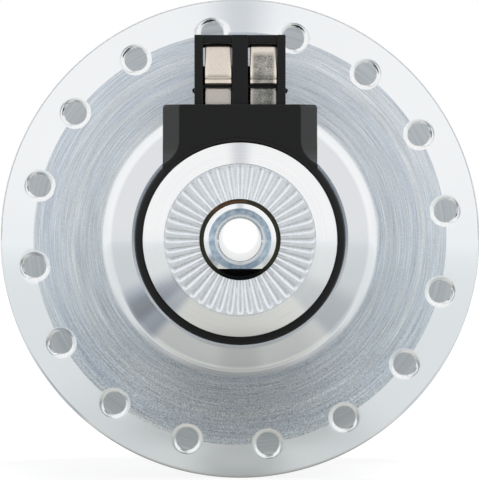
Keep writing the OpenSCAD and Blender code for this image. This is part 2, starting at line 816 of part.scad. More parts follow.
axle();
stator_core();
coil_bobbin();
coil_winding();
left_claw_plate();
right_claw_plate();
stator_nut();
live_lead_wire();
return_lead_wire();
left_inner_race();
right_inner_race();
left_spacer_sleeve();
right_spacer_sleeve();
left_end_nut();
right_end_nut();
left_end_ring();
connector_housing();
live_terminal();
return_terminal();
hub_shell();
shell_cover();
shell_o_ring();
back_iron_ring();
rotor_magnets();
left_outer_race();
right_outer_race();
left_bearing_shields();
right_bearing_shields();
left_shaft_seal();
right_shaft_seal();
left_balls();
left_ball_cage();
right_balls();
right_ball_cage();
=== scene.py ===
"""Hub dynamo for a quick-release front wheel: the finished pieces, the studio and the camera.

Lengths are in millimetres along the hub's own axes until hub_point() puts them into the frame:
a radius, a clock angle seen from the connector end and a distance along the axle towards that end.
"""

import math
import random

import bmesh
import bpy
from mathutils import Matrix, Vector


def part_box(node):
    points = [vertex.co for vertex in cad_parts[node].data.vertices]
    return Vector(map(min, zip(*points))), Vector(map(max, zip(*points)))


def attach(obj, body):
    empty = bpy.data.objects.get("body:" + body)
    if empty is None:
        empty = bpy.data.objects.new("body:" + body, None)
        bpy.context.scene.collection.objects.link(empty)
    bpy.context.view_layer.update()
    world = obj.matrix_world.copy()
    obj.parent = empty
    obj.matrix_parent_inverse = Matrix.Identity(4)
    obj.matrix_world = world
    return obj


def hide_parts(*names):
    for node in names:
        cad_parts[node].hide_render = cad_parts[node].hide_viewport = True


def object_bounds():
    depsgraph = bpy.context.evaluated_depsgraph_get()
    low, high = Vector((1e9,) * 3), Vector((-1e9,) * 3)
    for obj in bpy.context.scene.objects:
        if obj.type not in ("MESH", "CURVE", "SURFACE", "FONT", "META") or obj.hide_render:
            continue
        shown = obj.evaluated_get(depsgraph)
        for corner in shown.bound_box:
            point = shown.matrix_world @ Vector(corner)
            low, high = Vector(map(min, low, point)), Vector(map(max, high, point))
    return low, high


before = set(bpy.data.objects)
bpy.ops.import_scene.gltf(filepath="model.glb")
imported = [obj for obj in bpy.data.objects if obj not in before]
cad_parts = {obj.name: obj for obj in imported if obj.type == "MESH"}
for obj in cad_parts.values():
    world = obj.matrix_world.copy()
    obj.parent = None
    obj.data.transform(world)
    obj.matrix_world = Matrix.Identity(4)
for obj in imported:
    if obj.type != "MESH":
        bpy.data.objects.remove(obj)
cad_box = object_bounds()

MM = 0.001

# Sizes read from the frame: radii, and distances along the axle from its middle
flange_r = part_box("shell_cover")[1].x / MM
nose_top = -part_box("shell_cover")[0].y / MM
spigot_end = -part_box("shell_cover")[1].y / MM
dropout_face = -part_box("right_end_nut")[0].y / MM
nut_back = -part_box("right_end_nut")[1].y / MM
nut_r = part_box("right_end_nut")[1].x / MM
axle_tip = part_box("axle")[1].y / MM
ring_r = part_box("left_end_ring")[1].x / MM
ring_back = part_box("left_end_ring")[0].y / MM
ring_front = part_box("left_end_ring")[1].y / MM
bearing_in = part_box("left_outer_race")[0].y / MM
bearing_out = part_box("left_outer_race")[1].y / MM
bearing_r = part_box("left_outer_race")[1].x / MM
frame_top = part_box("connector_housing")[1].z / MM
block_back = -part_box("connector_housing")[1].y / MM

# Shell: the flange's faces, the boss and nose, and the barrel
flange_in = 23.4
flange_out = 26.6
spoke_circle_r = 27.0
spoke_holes = 16
spoke_hole_r = 1.47
spoke_mouth = 0.62
mouth_turn = math.radians(52)
first_spoke_hole = math.radians(7.7)
band_r = 26.9
band_slope = 0.192
rim_round = 0.5
boss_r = 17.0
boss_foot = 28.5
boss_fillet = 1.3
face_bulge = 0.1
brushed_in_r = 17.9
nose_r = 13.9
nose_edge = 0.16
nose_in_r = 12.7
barrel_r = 23.5
barrel_in_r = 21.5
root_fillet = 1.4
joint = 21.0
pocket_r = 16.5
disc_t = 3.2
spigot_wall = 2.0
o_ring_groove = (18.7, 20.1, 20.36)
fit = 0.02
# Heights on a flange face where painted glints in its brushing start, and where they are strongest
painted_glints_start = -8.0
painted_glints_full = -22.0

# End nuts and axle
serration_count = 44
serration_depth = 0.13
serration_half = 0.4
serration_floor_half = 0.23
serration_in_r = 5.09
short_groove_depth = 0.05
short_groove_r = 6.9
short_groove_run_out = 0.5
serration_out_r = 9.45
face_r = 9.55
nut_slope = math.radians(30)
nut_mouth_r = 5.03
nut_thread_r = 4.97
nut_mouth_floor = 49.2
nut_lip_r = 4.6
axle_chamfer = 0.6
thread_pitch = 1.0
smear_angle = math.radians(112)
axle_relief = 35.5
axle_bore_r = 2.65
axle_bore_chamfer = 0.25

# End rings and connector
ring_lip_in_r = 12.3
ring_web_in_r = 9.05
ring_lean = 0.14
block_half = 9.75
block_top = 17.0
block_bevel = 2.1
block_flare = 3.5
frame_half = 5.75
frame_back = 38.5
frame_front = 45.2
ledge_h = 1.05
ledge_front = 44.6
frame_edge = 0.14
ridge_r = 0.3
slot_half = 1.835
terminal_pitch = 5.7
terminal_w = 3.35
strip_t = 0.5
strip_back = 42.75
strip_low = 16.5
strip_half_way = 20.0
contact_low = 19.45
contact_top = 24.7
contact_bend = 0.7
contact_front = 45.45
contact_crown = 0.05
strip_edge = 0.14
knee_height = 20.66
knee_r = 0.75
kick_deg = 44
lip_r = 0.27
lip_lean_deg = 20
lip_length = 0.45
tab_top = 19.05
tab_back = 43.15
terminal_shift = 0.1


def at(x, y, along):
    """Place in the frame, in metres, of a point across, above and along the axle."""
    return Vector((x, -along, y)) * MM


def hub_point(radius, angle, along):
    """Place in the frame, in metres, of a point given in the hub's own axes."""
    return at(radius * math.cos(angle), radius * math.sin(angle), along)


def soften(corners, steps=4):
    """Outline of corners (radius, along, edge radius), each edge rounded by an arc of its own radius."""
    points = []
    for before, corner, after in zip(corners[-1:] + corners[:-1], corners, corners[1:] + corners[:1]):
        here = Vector(corner[:2])
        edge = corner[2]
        if not edge:
            points.append(tuple(here))
            continue
        back = (Vector(before[:2]) - here).normalized()
        on = (Vector(after[:2]) - here).normalized()
        half = back.angle(on) / 2
        centre = here + (back + on).normalized() * edge / math.sin(half)
        start = here + back * edge / math.tan(half) - centre
        end = here + on * edge / math.tan(half) - centre
        turn = start.angle_signed(end)
        first = math.atan2(start.y, start.x)
        for step in range(steps + 1):
            angle = first - turn * step / steps
            points.append((centre.x + edge * math.cos(angle), centre.y + edge * math.sin(angle)))
    return points


def arc(centre, radius, start, end, steps):
    """Points along an arc in an outline, with its angles in degrees."""
    angles = [math.radians(start + (end - start) * step / steps) for step in range(steps + 1)]
    return [(centre[0] + radius * math.cos(a), centre[1] + radius * math.sin(a)) for a in angles]


def circle_angles(segments, first=0.0):
    """Evenly spaced angles round a full circle."""
    return [first + math.tau * i / segments for i in range(segments)]


def skin(bm, rows, closed=False, material=0):
    """Adds the faces between rows of points, each row a closed loop."""
    pairs = list(zip(rows, rows[1:]))
    if closed:
        pairs.append((rows[-1], rows[0]))
    for near, far in pairs:
        for i in range(len(near)):
            j = (i + 1) % len(near)
            bm.faces.new((near[i], near[j], far[j], far[i])).material_index = material


def revolve(bm, outline, angles, side=1, closed=True):
    """Adds the surface that an outline sweeps round the axle."""
    skin(bm, [[bm.verts.new(hub_point(r, a, side * s)) for a in angles] for r, s in outline], closed)


def loft(bm, loops):
    """Adds a closed solid through loops of points, with its two ends capped."""
    rows = [[bm.verts.new(point) for point in loop] for loop in loops]
    skin(bm, rows)
    bm.faces.new(rows[0])
    bm.faces.new(rows[-1])


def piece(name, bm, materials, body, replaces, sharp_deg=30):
    """Makes a smooth piece from a bmesh, puts it on its body and hides the node that it stands for."""
    bmesh.ops.remove_doubles(bm, verts=bm.verts, dist=0.002 * MM)
    bmesh.ops.recalc_face_normals(bm, faces=bm.faces)
    mesh = bpy.data.meshes.new(name)
    bm.to_mesh(mesh)
    bm.free()
    mesh.shade_smooth()
    mesh.set_sharp_from_angle(angle=math.radians(sharp_deg))
    for material in materials:
        mesh.materials.append(material)
    made = bpy.data.objects.new(name, mesh)
    bpy.context.scene.collection.objects.link(made)
    made.modifiers.new("flat_faces_stay_flat", "WEIGHTED_NORMAL").keep_sharp = True
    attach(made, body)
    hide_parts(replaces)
    return made


# Materials


def srgb(code):
    """Linear colour of an sRGB hex code."""
    parts = [int(code[i:i + 2], 16) / 255 for i in (0, 2, 4)]
    return [c / 12.92 if c <= 0.04045 else ((c + 0.055) / 1.055) ** 2.4 for c in parts] + [1.0]


def feed(tree, node, inputs):
    """Sets a node's inputs: each is a plain value, an output, or a node in place of its first output."""
    for key, value in dict(inputs).items():
        if isinstance(value, bpy.types.Node):
            value = value.outputs[0]
        if isinstance(value, bpy.types.NodeSocket):
            tree.links.new(value, node.inputs[key])
        else:
            node.inputs[key].default_value = value


def put(tree, kind, inputs=(), **settings):
    """Adds a shader node with its settings and what feeds it."""
    made = tree.nodes.new("ShaderNode" + kind)
    for key, value in settings.items():
        setattr(made, key, value)
    feed(tree, made, inputs)
    return made


def start_material(name):
    """New material; returns it with its node tree and its shader."""
    made = bpy.data.materials.new(name)
    made.use_nodes = True
    return made, made.node_tree, made.node_tree.nodes["Principled BSDF"]


def turning_marks(tree, width_mm, arc_deg):
    """Noise drawn out round the axle: marks of that width across and about that long around it.

    The real marks, a few hundredths of a millimetre wide, are too fine to show, so the widths are coarser.
    Returns the noise's output and the radius in millimetres.
    """
    place = put(tree, "TexCoord").outputs["Object"]
    flat = put(tree, "VectorMath", {0: place, 1: (1 / MM, 0, 1 / MM)}, operation="MULTIPLY")
    radius = put(tree, "VectorMath", {0: flat}, operation="LENGTH").outputs["Value"]
    aim = put(tree, "VectorMath", {0: flat}, operation="NORMALIZE")
    aim = put(tree, "VectorMath", {0: aim, "Scale": 180 / math.pi / arc_deg}, operation="SCALE")
    along = put(tree, "SeparateXYZ", {0: place}).outputs["Y"]
    along = put(tree, "Math", {0: along, 1: 1 / MM}, operation="MULTIPLY")
    across = put(tree, "Math", {0: radius, 1: along}, operation="ADD")
    across = put(tree, "Math", {0: across, 1: 1 / width_mm}, operation="MULTIPLY")
    step = put(tree, "CombineXYZ", {"Y": across})
    where = put(tree, "VectorMath", {0: aim, 1: step}, operation="ADD")
    noise = put(tree, "TexNoise", {"Vector": where, "Scale": 1.0, "Detail": 3.0, "Roughness": 0.6})
    return noise.outputs["Fac"], radius


def draw_across_marks(tree, shader, amount):
    """Draws reflections out across fine marks that run round the axle, as any turned or brushed face does."""
    around = put(tree, "Tangent", direction_type="RADIAL", axis="Y")
    feed(tree, shader, {
        "Tangent": around,
        "Anisotropic": amount,
        "Anisotropic Rotation": 0.25,
    })


def make_shell_aluminium():
    """Clear-anodised aluminium: bright from the turning tool, with the flange faces brushed in circles.

    The brushed face is greyer and bluer, in soft rings crossed by fine short scratches that follow the
    circle. Painted glints make its speckle stronger and more broken up towards its lower side, and painted
    shade darkens it towards the boss. Scratches and grit are drawn coarser than the real ones, which are
    too fine to show. The boss is a shade darker than the band and the fillet: painted shade.
    """
    made, tree, shader = start_material("turned_and_brushed_aluminium")
    brush, radius = turning_marks(tree, width_mm=0.12, arc_deg=18)
    rings, _ = turning_marks(tree, width_mm=0.9, arc_deg=120)
    inner = put(tree, "MapRange", {0: radius, 1: brushed_in_r - 0.2, 2: brushed_in_r + 0.2})
    outer = put(tree, "MapRange", {0: radius, 1: band_r - 0.05, 2: band_r + 0.05, 3: 1.0, 4: 0.0})
    satin = put(tree, "Math", {0: inner, 1: outer}, operation="MULTIPLY")
    # Painted shade: the boss is a shade darker than the band and the fillet
    boss_painted_shade = put(tree, "MapRange", {0: radius, 1: boss_r - 0.5, 2: boss_r - 0.1, 3: 1.0, 4: 0.0})
    bright = put(tree, "MixRGB", {0: boss_painted_shade, 1: srgb("F2F4F6"), 2: srgb("DFE1E4")})
    bands = put(tree, "MapRange", {0: rings, 1: 0.3, 2: 0.7})
    tint = put(tree, "MixRGB", {0: bands, 1: srgb("C8D1DC"), 2: srgb("DFE4E6")})
    place = put(tree, "TexCoord").outputs["Object"]
    grit = put(tree, "TexNoise", {"Vector": place, "Scale": 1 / (0.17 * MM), "Detail": 2.0}).outputs["Fac"]
    height = put(tree, "SeparateXYZ", {0: place}).outputs["Z"]
    # Painted glints: the speckle of the brushed face grows stronger towards its lower side
    coarser = put(tree, "MapRange", {0: height, 1: painted_glints_start * MM, 2: painted_glints_full * MM})
    glint_grit_share = put(tree, "MapRange", {0: coarser, 3: 0.3, 4: 0.6})
    streaks = put(tree, "Mix", {0: glint_grit_share, 2: brush, 3: grit})
    darkest = put(tree, "MapRange", {0: coarser, 3: 0.72, 4: 0.42})
    palest = put(tree, "MapRange", {0: coarser, 3: 1.33, 4: 1.56})
    shade = put(tree, "MapRange", {0: streaks, 1: 0.3, 2: 0.7, 3: darkest, 4: palest})
    # Painted shade: the brushed face is a shade darker towards the boss
    paler = put(tree, "MapRange", {0: radius, 1: 20.0, 2: 26.0, 3: 0.94, 4: 1.02})
    shade = put(tree, "Math", {0: shade, 1: paler}, operation="MULTIPLY")
    brushed = put(tree, "MixRGB", {0: 1.0, 1: tint, 2: shade}, blend_type="MULTIPLY")
    colour = put(tree, "MixRGB", {0: satin, 1: bright, 2: brushed})
    coarse = put(tree, "MapRange", {0: brush, 1: 0.3, 2: 0.7, 3: 0.42, 4: 0.3})
    rough = put(tree, "Mix", {0: satin, 2: 0.13, 3: coarse})
    relief = put(tree, "Math", {0: streaks, 1: satin}, operation="MULTIPLY")
    bump = put(tree, "Bump", {"Strength": 0.6, "Distance": 0.02 * MM, "Height": relief})
    feed(tree, shader, {
        "Base Color": colour,
        "Roughness": rough,
        "Normal": bump,
        "Metallic": 1.0,
    })
    draw_across_marks(tree, shader, 0.8)
    return made


def make_turned_metal(name, dark, light, roughness, width_mm, bump=0.15):
    """Metal straight from the lathe: fine rings round the axle that break up its reflections a little."""
    made, tree, shader = start_material(name)
    marks, _ = turning_marks(tree, width_mm, arc_deg=70)
    shade = put(tree, "MapRange", {0: marks, 1: 0.3, 2: 0.7})
    colour = put(tree, "MixRGB", {0: shade, 1: srgb(dark), 2: srgb(light)})
    rough = put(tree, "MapRange", {0: marks, 3: roughness * 0.7, 4: roughness * 1.3})
    rings = put(tree, "Bump", {"Strength": bump, "Distance": 0.01 * MM, "Height": marks})
    feed(tree, shader, {
        "Base Color": colour,
        "Roughness": rough,
        "Normal": rings,
        "Metallic": 1.0,
    })
    draw_across_marks(tree, shader, 0.6)
    return made


def make_grained(name, dark, light, roughness, grain_mm, metallic=0.0, bump_mm=0.01, specular=0.5):
    """Cast, moulded, sintered or plated surface with an even grain.

    The real grain is too fine to show on most of them, so it is drawn coarser.
    """
    made, tree, shader = start_material(name)
    scale = 1 / (grain_mm * MM)
    place = put(tree, "TexCoord").outputs["Object"]
    grain = put(tree, "TexNoise", {"Vector": place, "Scale": scale, "Detail": 4.0}).outputs["Fac"]
    shade = put(tree, "MapRange", {0: grain, 1: 0.3, 2: 0.7})
    colour = put(tree, "MixRGB", {0: shade, 1: srgb(dark), 2: srgb(light)})
    rough = put(tree, "MapRange", {0: grain, 3: roughness * 0.8, 4: roughness * 1.2})
    bump = put(tree, "Bump", {"Strength": 0.3, "Distance": bump_mm * MM, "Height": grain})
    feed(tree, shader, {
        "Base Color": colour,
        "Roughness": rough,
        "Normal": bump,
        "Metallic": metallic,
        "Specular IOR Level": specular,
    })
    return made


def make_axle_end_steel():
    """Zinc-plated thread: blue-white where it stands out of the nut, brown with old grease in its mouth."""
    made, tree, shader = start_material("greased_axle_thread")
    place = put(tree, "TexCoord").outputs["Object"]
    smear = put(tree, "TexNoise", {"Vector": place, "Scale": 1 / (1.5 * MM), "Detail": 4.0}).outputs["Fac"]
    along = put(tree, "SeparateXYZ", {0: place}).outputs["Y"]
    along = put(tree, "Math", {0: along}, operation="ABSOLUTE")
    greased_to = (dropout_face - 0.3) * MM
    bare_from = (dropout_face + 0.2) * MM
    bare = put(tree, "MapRange", {0: along, 1: greased_to, 2: bare_from})
    grease = put(tree, "MixRGB", {0: smear, 1: srgb("2E281F"), 2: srgb("7A583E")})
    zinc = put(tree, "MixRGB", {0: smear, 1: srgb("A6B5CA"), 2: srgb("D8E1EC")})
    colour = put(tree, "MixRGB", {0: bare, 1: grease, 2: zinc})
    turns = put(tree, "Math", {0: along, 1: math.tau / (thread_pitch * MM)}, operation="MULTIPLY")
    ridge = put(tree, "Math", {0: turns}, operation="SINE")
    bump = put(tree, "Bump", {"Strength": 0.6, "Distance": 0.15 * MM, "Height": ridge})
    feed(tree, shader, {
        "Base Color": colour,
        "Metallic": bare,
        "Roughness": 0.32,
        "Normal": bump,
    })
    return made


def make_greased_mouth_with_painted_shade():
    """Steel under old grease in a nut's mouth: olive, brown smear at the top, painted shade black below."""
    made, tree, shader = start_material("greased_nut_mouth_with_painted_shade")
    place = put(tree, "TexCoord").outputs["Object"]
    blots = put(tree, "TexNoise", {"Vector": place, "Scale": 1 / (0.8 * MM), "Detail": 4.0}).outputs["Fac"]
    flat = put(tree, "VectorMath", {0: place, 1: (1, 0, 1)}, operation="MULTIPLY")
    aim = put(tree, "VectorMath", {0: flat}, operation="NORMALIZE")
    smear_at = (math.cos(smear_angle), 0, math.sin(smear_angle))
    near = put(tree, "VectorMath", {0: aim, 1: smear_at}, operation="DOT_PRODUCT").outputs["Value"]
    near = put(tree, "Math", {0: blots, 1: 0.25, 2: near}, operation="MULTIPLY_ADD")
    smear = put(tree, "MapRange", {0: near, 1: 0.98, 2: 1.08})
    # Painted shade: the mouth turns black towards its bottom
    low = put(tree, "SeparateXYZ", {0: aim}).outputs["Z"]
    low = put(tree, "MapRange", {0: low, 1: -0.9, 2: -0.6})
    olive = put(tree, "MixRGB", {0: low, 1: srgb("040404"), 2: srgb("7C7A64")})
    brown = put(tree, "MixRGB", {0: blots, 1: srgb("8A5C36"), 2: srgb("E0B288")})
    colour = put(tree, "MixRGB", {0: smear, 1: olive, 2: brown})
    bump = put(tree, "Bump", {"Strength": 0.5, "Distance": 0.1 * MM, "Height": blots})
    feed(tree, shader, {
        "Base Color": colour,
        "Normal": bump,
        "Roughness": 0.5,
        "Specular IOR Level": 0.2,
    })
    return made


def make_axle_face_zinc():
    """Faced end of the axle: blue-white zinc with fine turning rings, brighter in the bore's countersink."""
    made, tree, shader = start_material("faced_zinc_plated_steel")
    marks, radius = turning_marks(tree, width_mm=0.3, arc_deg=40)
    place = put(tree, "TexCoord").outputs["Object"]
    blots = put(tree, "TexNoise", {"Vector": place, "Scale": 1 / (0.7 * MM), "Detail": 4.0}).outputs["Fac"]
    shade = put(tree, "Mix", {0: 0.6, 2: marks, 3: blots})
    shade = put(tree, "MapRange", {0: shade, 1: 0.35, 2: 0.65})
    zinc = put(tree, "MixRGB", {0: shade, 1: srgb("93ABBF"), 2: srgb("D8E5EF")})
    sink_r = axle_bore_r + 0.45
    sunk = put(tree, "MapRange", {0: radius, 1: sink_r, 2: sink_r + 0.05, 3: 1.0, 4: 0.0})
    colour = put(tree, "MixRGB", {0: sunk, 1: zinc, 2: srgb("F3F6F9")})
    rings = put(tree, "Bump", {"Strength": 0.15, "Distance": 0.01 * MM, "Height": marks})
    rough = put(tree, "MapRange", {0: sunk, 3: 0.29, 4: 0.5})
    feed(tree, shader, {
        "Base Color": colour,
        "Normal": rings,
        "Roughness": rough,
        "Metallic": 1.0,
    })
    draw_across_marks(tree, shader, 0.9)
    return made


def make_worn_nickel():
    """Nickel-plated strip rubbed grey and speckled by a plug's spring, still bright along its edges."""
    made, tree, shader = start_material("worn_nickel_strip")
    worn_half = 1.15 * MM
    bright_half = 1.5 * MM
    worn_top = 23.1 * MM
    bright_top = 23.8 * MM
    place = put(tree, "TexCoord").outputs["Object"]
    fine = put(tree, "TexNoise", {"Vector": place, "Scale": 1 / (0.13 * MM), "Detail": 3.0}).outputs["Fac"]
    blotch = put(tree, "TexNoise", {"Vector": place, "Scale": 1 / (0.9 * MM), "Detail": 2.0}).outputs["Fac"]
    axes = put(tree, "SeparateXYZ", {0: place}).outputs
    middle = terminal_pitch / 2 + terminal_shift
    aside = put(tree, "Math", {0: axes["X"], 1: middle * MM}, operation="SUBTRACT")
    aside = put(tree, "Math", {0: aside}, operation="ABSOLUTE")
    inside = put(tree, "MapRange", {0: aside, 1: worn_half, 2: bright_half, 3: 1.0, 4: 0.0})
    below = put(tree, "MapRange", {0: axes["Z"], 1: worn_top, 2: bright_top, 3: 1.0, 4: 0.0})
    worn = put(tree, "Math", {0: inside, 1: below}, operation="MULTIPLY")
    speckle = put(tree, "Math", {0: blotch, 1: 0.4, 2: fine}, operation="MULTIPLY_ADD")
    speckle = put(tree, "MapRange", {0: speckle, 1: 0.52, 2: 0.88})
    rubbed = put(tree, "MixRGB", {0: speckle, 1: srgb("6A6B67"), 2: srgb("C6C1B8")})
    colour = put(tree, "MixRGB", {0: worn, 1: srgb("F0E5D8"), 2: rubbed})
    rough = put(tree, "MapRange", {0: worn, 3: 0.28, 4: 0.36})
    feed(tree, shader, {
        "Base Color": colour,
        "Roughness": rough,
        "Metallic": 1.0,
    })
    return made


shell_aluminium = make_shell_aluminium()
# Drilled holes: clean cuts, close to mirror bright beside the brushed face
cut_aluminium = make_grained("drilled_aluminium", "ECEEEF", "F8F9F9", 0.18, 0.3, metallic=1.0)
# Inner faces of the flanges: even, dull, light grey
forged_aluminium = make_turned_metal("forged_aluminium", "CBCFD1", "DFE2E4", 0.38, 0.4)
# Sleeves from the lathe: bright, with fine rings
turned_aluminium = make_turned_metal("turned_aluminium", "D5D9DD", "E6E9EC", 0.22, 0.3)
# Cones of the end nuts: near-mirror steel that shows the studio
end_nut_steel = make_turned_metal("turned_stainless_steel", "F0F1F2", "F6F6F7", 0.16, 0.35, bump=0.03)
# Lands of the dropout face: tumbled to a pale matt white
matt_steel = make_grained("tumbled_stainless_steel", "E6EBF0", "F7FAFD", 0.5, 0.15, metallic=1.0)
# Grooves pressed into that face: smoother, so that they catch the light
coined_steel = make_grained("coined_stainless_steel", "EAEDF1", "F8FAFC", 0.32, 0.3, metallic=1.0)
# Plated axle: blue-white with a soft shine
axle_steel = make_turned_metal("zinc_plated_axle_steel", "A6B9CA", "D4E0EA", 0.3, 0.35)
# Chamfers and bore of the axle: cut bare and bright
bright_steel = make_turned_metal("chamfered_axle_steel", "EEF0F2", "F8F9FA", 0.1, 0.3)
axle_end_steel = make_axle_end_steel()
axle_face_zinc = make_axle_face_zinc()
greased_mouth_and_painted_shade = make_greased_mouth_with_painted_shade()
# Connector and rings: black, with the faint grain of the mould
black_nylon = make_grained("moulded_black_nylon", "0E0E0F", "161617", 0.45, 0.25, specular=0.32)
# Bevels of the connector, polished in the mould, with painted light that makes them a dark grey gloss
polished_nylon_painted_light = make_grained("mould_polished_black_nylon_painted_light", "1F2122", "282A2B", 0.3, 0.5)
# Terminals: warm white metal with a soft shine
nickel_plating = make_grained("nickel_plated_strip", "DFD3C6", "F2E7DB", 0.3, 0.15, metallic=1.0)
worn_nickel = make_worn_nickel()
# Races and balls: ground smooth and bright
bearing_steel = make_turned_metal("ground_bearing_steel", "CFD1D3", "DDDFE1", 0.12, 0.2)
# Magnetic circuit: dark grey and oily
soft_iron = make_grained("oiled_soft_iron", "4E5052", "6A6C6E", 0.45, 0.5, metallic=1.0)
# Coil: brown copper wire that shows turn by turn
enamelled_copper = make_turned_metal("enamelled_copper_wire", "8A4A22", "B5662F", 0.3, 0.4)
# Bobbin: undyed, cream and matt
natural_nylon = make_grained("natural_nylon", "D9D2BF", "E2DCCB", 0.5, 0.4)
# Ball cages: honey yellow and matt
amber_nylon = make_grained("amber_nylon_cage", "B79B5E", "C9AE72", 0.45, 0.4)
# Magnets: charcoal grey and dry
ferrite = make_grained("sintered_ferrite", "2A2A2C", "3A3A3C", 0.6, 0.3)
# Seals, shields and O-ring: black and dull
black_rubber = make_grained("nitrile_rubber", "161616", "202020", 0.6, 0.3)
# Leads to the terminals: satin red and satin black
red_insulation = make_grained("red_wire_insulation", "8E1611", "9E1D17", 0.45, 0.3)
black_insulation = make_grained("black_wire_insulation", "151515", "1E1E1E", 0.45, 0.3)

NODE_MATERIALS = {
    "axle": axle_steel,
    "stator_core": soft_iron,
    "coil_bobbin": natural_nylon,
    "coil_winding": enamelled_copper,
    "left_claw_plate": soft_iron,
    "right_claw_plate": soft_iron,
    "stator_nut": axle_steel,
    "live_lead_wire": red_insulation,
    "return_lead_wire": black_insulation,
    "left_inner_race": bearing_steel,
    "right_inner_race": bearing_steel,
    "left_spacer_sleeve": turned_aluminium,
    "right_spacer_sleeve": turned_aluminium,
    "left_end_nut": end_nut_steel,
    "right_end_nut": end_nut_steel,
    "left_end_ring": black_nylon,
    "connector_housing": black_nylon,
    "live_terminal": nickel_plating,
    "return_terminal": worn_nickel,
    "hub_shell": shell_aluminium,
    "shell_cover": shell_aluminium,
    "shell_o_ring": black_rubber,
    "back_iron_ring": soft_iron,
    "rotor_magnets": ferrite,
    "left_outer_race": bearing_steel,
    "right_outer_race": bearing_steel,
    "left_bearing_shields": black_rubber,
    "right_bearing_shields": black_rubber,
    "left_shaft_seal": black_rubber,
    "right_shaft_seal": black_rubber,
    "left_balls": bearing_steel,
    "left_ball_cage": amber_nylon,
    "right_balls": bearing_steel,
    "right_ball_cage": amber_nylon,
}
for name, material in NODE_MATERIALS.items():
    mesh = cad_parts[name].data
    mesh.materials.clear()
    mesh.materials.append(material)


# Shell and cover


def face_height(radius):
    """Distance along the axle of the flange's outer face: slightly domed, inside a sloped bright band."""
    if radius > band_r:
        return flange_out - band_slope * (radius - band_r)
    share = (band_r - radius) / (band_r - boss_r)
    return flange_out + (boss_foot - flange_out) * share + 4 * face_bulge * share * (1 - share)


# Ring of the flange that the spoke holes take up, and how finely it is drawn
holes_in_r = 24.95
holes_out_r = 29.6
sector_steps = 16
mouth_steps = 4
radial_steps = 8
ring_shares = (0.0, 0.12, 0.3, 0.55, 0.78, 1.0)


def sector_edge(hole_angle):
    """Points (radius, angle) round the part of the flange that belongs to one spoke hole."""
    half = math.pi / spoke_holes
    inner = [(holes_in_r, hole_angle - half + 2 * half * i / sector_steps) for i in range(sector_steps)]
    outer = [(holes_out_r, hole_angle + half - 2 * half * i / sector_steps) for i in range(sector_steps)]
    step = (holes_out_r - holes_in_r) / radial_steps
    far = [(holes_in_r + step * i, hole_angle + half) for i in range(radial_steps)]
    near = [(holes_out_r - step * i, hole_angle - half) for i in range(radial_steps)]
    return inner + far + outer + near


def spoke_hole(bm, hole_angle, side):
    """Flange faces round one spoke hole, its rounded mouths and its wall."""
    edge = [Vector((r * math.cos(a), r * math.sin(a))) for r, a in sector_edge(hole_angle)]
    centre = Vector((math.cos(hole_angle), math.sin(hole_angle))) * spoke_circle_r
    aims = [(p - centre).normalized() for p in edge]
    mouth = [centre + aim * (spoke_hole_r + spoke_mouth) for aim in aims]

    def ring(points, height):
        polar = [(p.length, math.atan2(p.y, p.x)) for p in points]
        return [bm.verts.new(hub_point(r, a, side * height(r))) for r, a in polar]

    def face_rings(height):
        return [ring([m + (p - m) * share for m, p in zip(mouth, edge)], height) for share in ring_shares]

    outer = face_rings(face_height)
    inner = face_rings(lambda r: flange_in)
    mouth_bend = spoke_mouth / math.sin(mouth_turn)
    rounding = [mouth_turn * step / mouth_steps for step in range(1, mouth_steps + 1)]
    countersink = [
        ([centre + aim * (spoke_hole_r + spoke_mouth - mouth_bend * math.sin(turn)) for aim in aims],
         mouth_bend * (1 - math.cos(turn)))
        for turn in rounding
    ]
    mouth_rows = [outer[0]]
    mouth_rows += [ring(points, lambda r: face_height(r) - sunk) for points, sunk in countersink]
    mouth_rows += [ring(points, lambda r: flange_in + sunk) for points, sunk in reversed(countersink)]
    mouth_rows.append(inner[0])
    skin(bm, outer[::-1])
    skin(bm, mouth_rows, material=1)
    skin(bm, inner, material=2)


def outer_face_outline():
    """Outline of the flange from the inside of the spoke holes over the boss to the mouth of the nose."""
    slope_top = boss_foot + boss_r - nose_r
    face_deg = math.degrees(math.atan((boss_foot - flange_out - 4 * face_bulge) / (band_r - boss_r)))
    reach = boss_fillet * math.tan(math.radians(45 - face_deg) / 2)
    fall = math.radians(face_deg)
    centre = (
        boss_r + reach * math.cos(fall) + boss_fillet * math.sin(fall),
        boss_foot - reach * math.sin(fall) + boss_fillet * math.cos(fall),
    )
    seat_r = bearing_r + fit / 2
    seat_end = bearing_in - 0.5
    face_step = 0.8
    face_radii = [holes_in_r - face_step * step for step in range(9)]
    return (
        [(r, face_height(r)) for r in face_radii]
        + arc(centre, boss_fillet, 270 - face_deg, 225, 10)
        + [
            (nose_r, slope_top),
            (nose_r, nose_top - nose_edge),
            (nose_r - nose_edge, nose_top),
            (nose_in_r, nose_top),
            (nose_in_r, bearing_out),
            (seat_r, bearing_out),
            (seat_r, seat_end),
            (pocket_r, seat_end),
            (pocket_r, boss_foot - disc_t),
        ]
    )


def barrel_root():
    """Fillet from the barrel to the flange's inner face."""
    centre = (barrel_r + root_fillet, flange_in - root_fillet)
    return arc(centre, root_fillet, 180, 90, 8) + [(holes_in_r, flange_in)]


def rim_outline():
    """Outline of the rim outside the spoke holes: rounded off, with a fine steep facet before its side."""
    facet_deg = 67
    turn_deg = 38
    start_deg = math.degrees(math.atan(band_slope))
    round_r = flange_r - rim_round
    round_h = face_height(round_r) - rim_round
    over = arc((round_r, round_h), rim_round, 90 - start_deg, 90 - turn_deg, 6)
    facet_foot = over[-1][1] - (flange_r - over[-1][0]) * math.tan(math.radians(facet_deg))
    return (
        [(holes_out_r, face_height(holes_out_r))]
        + over
        + [(flange_r, facet_foot)]
        + arc((flange_r - rim_round, flange_in + rim_round), rim_round, 0, -90, 6)
        + [(holes_out_r, flange_in)]
    )


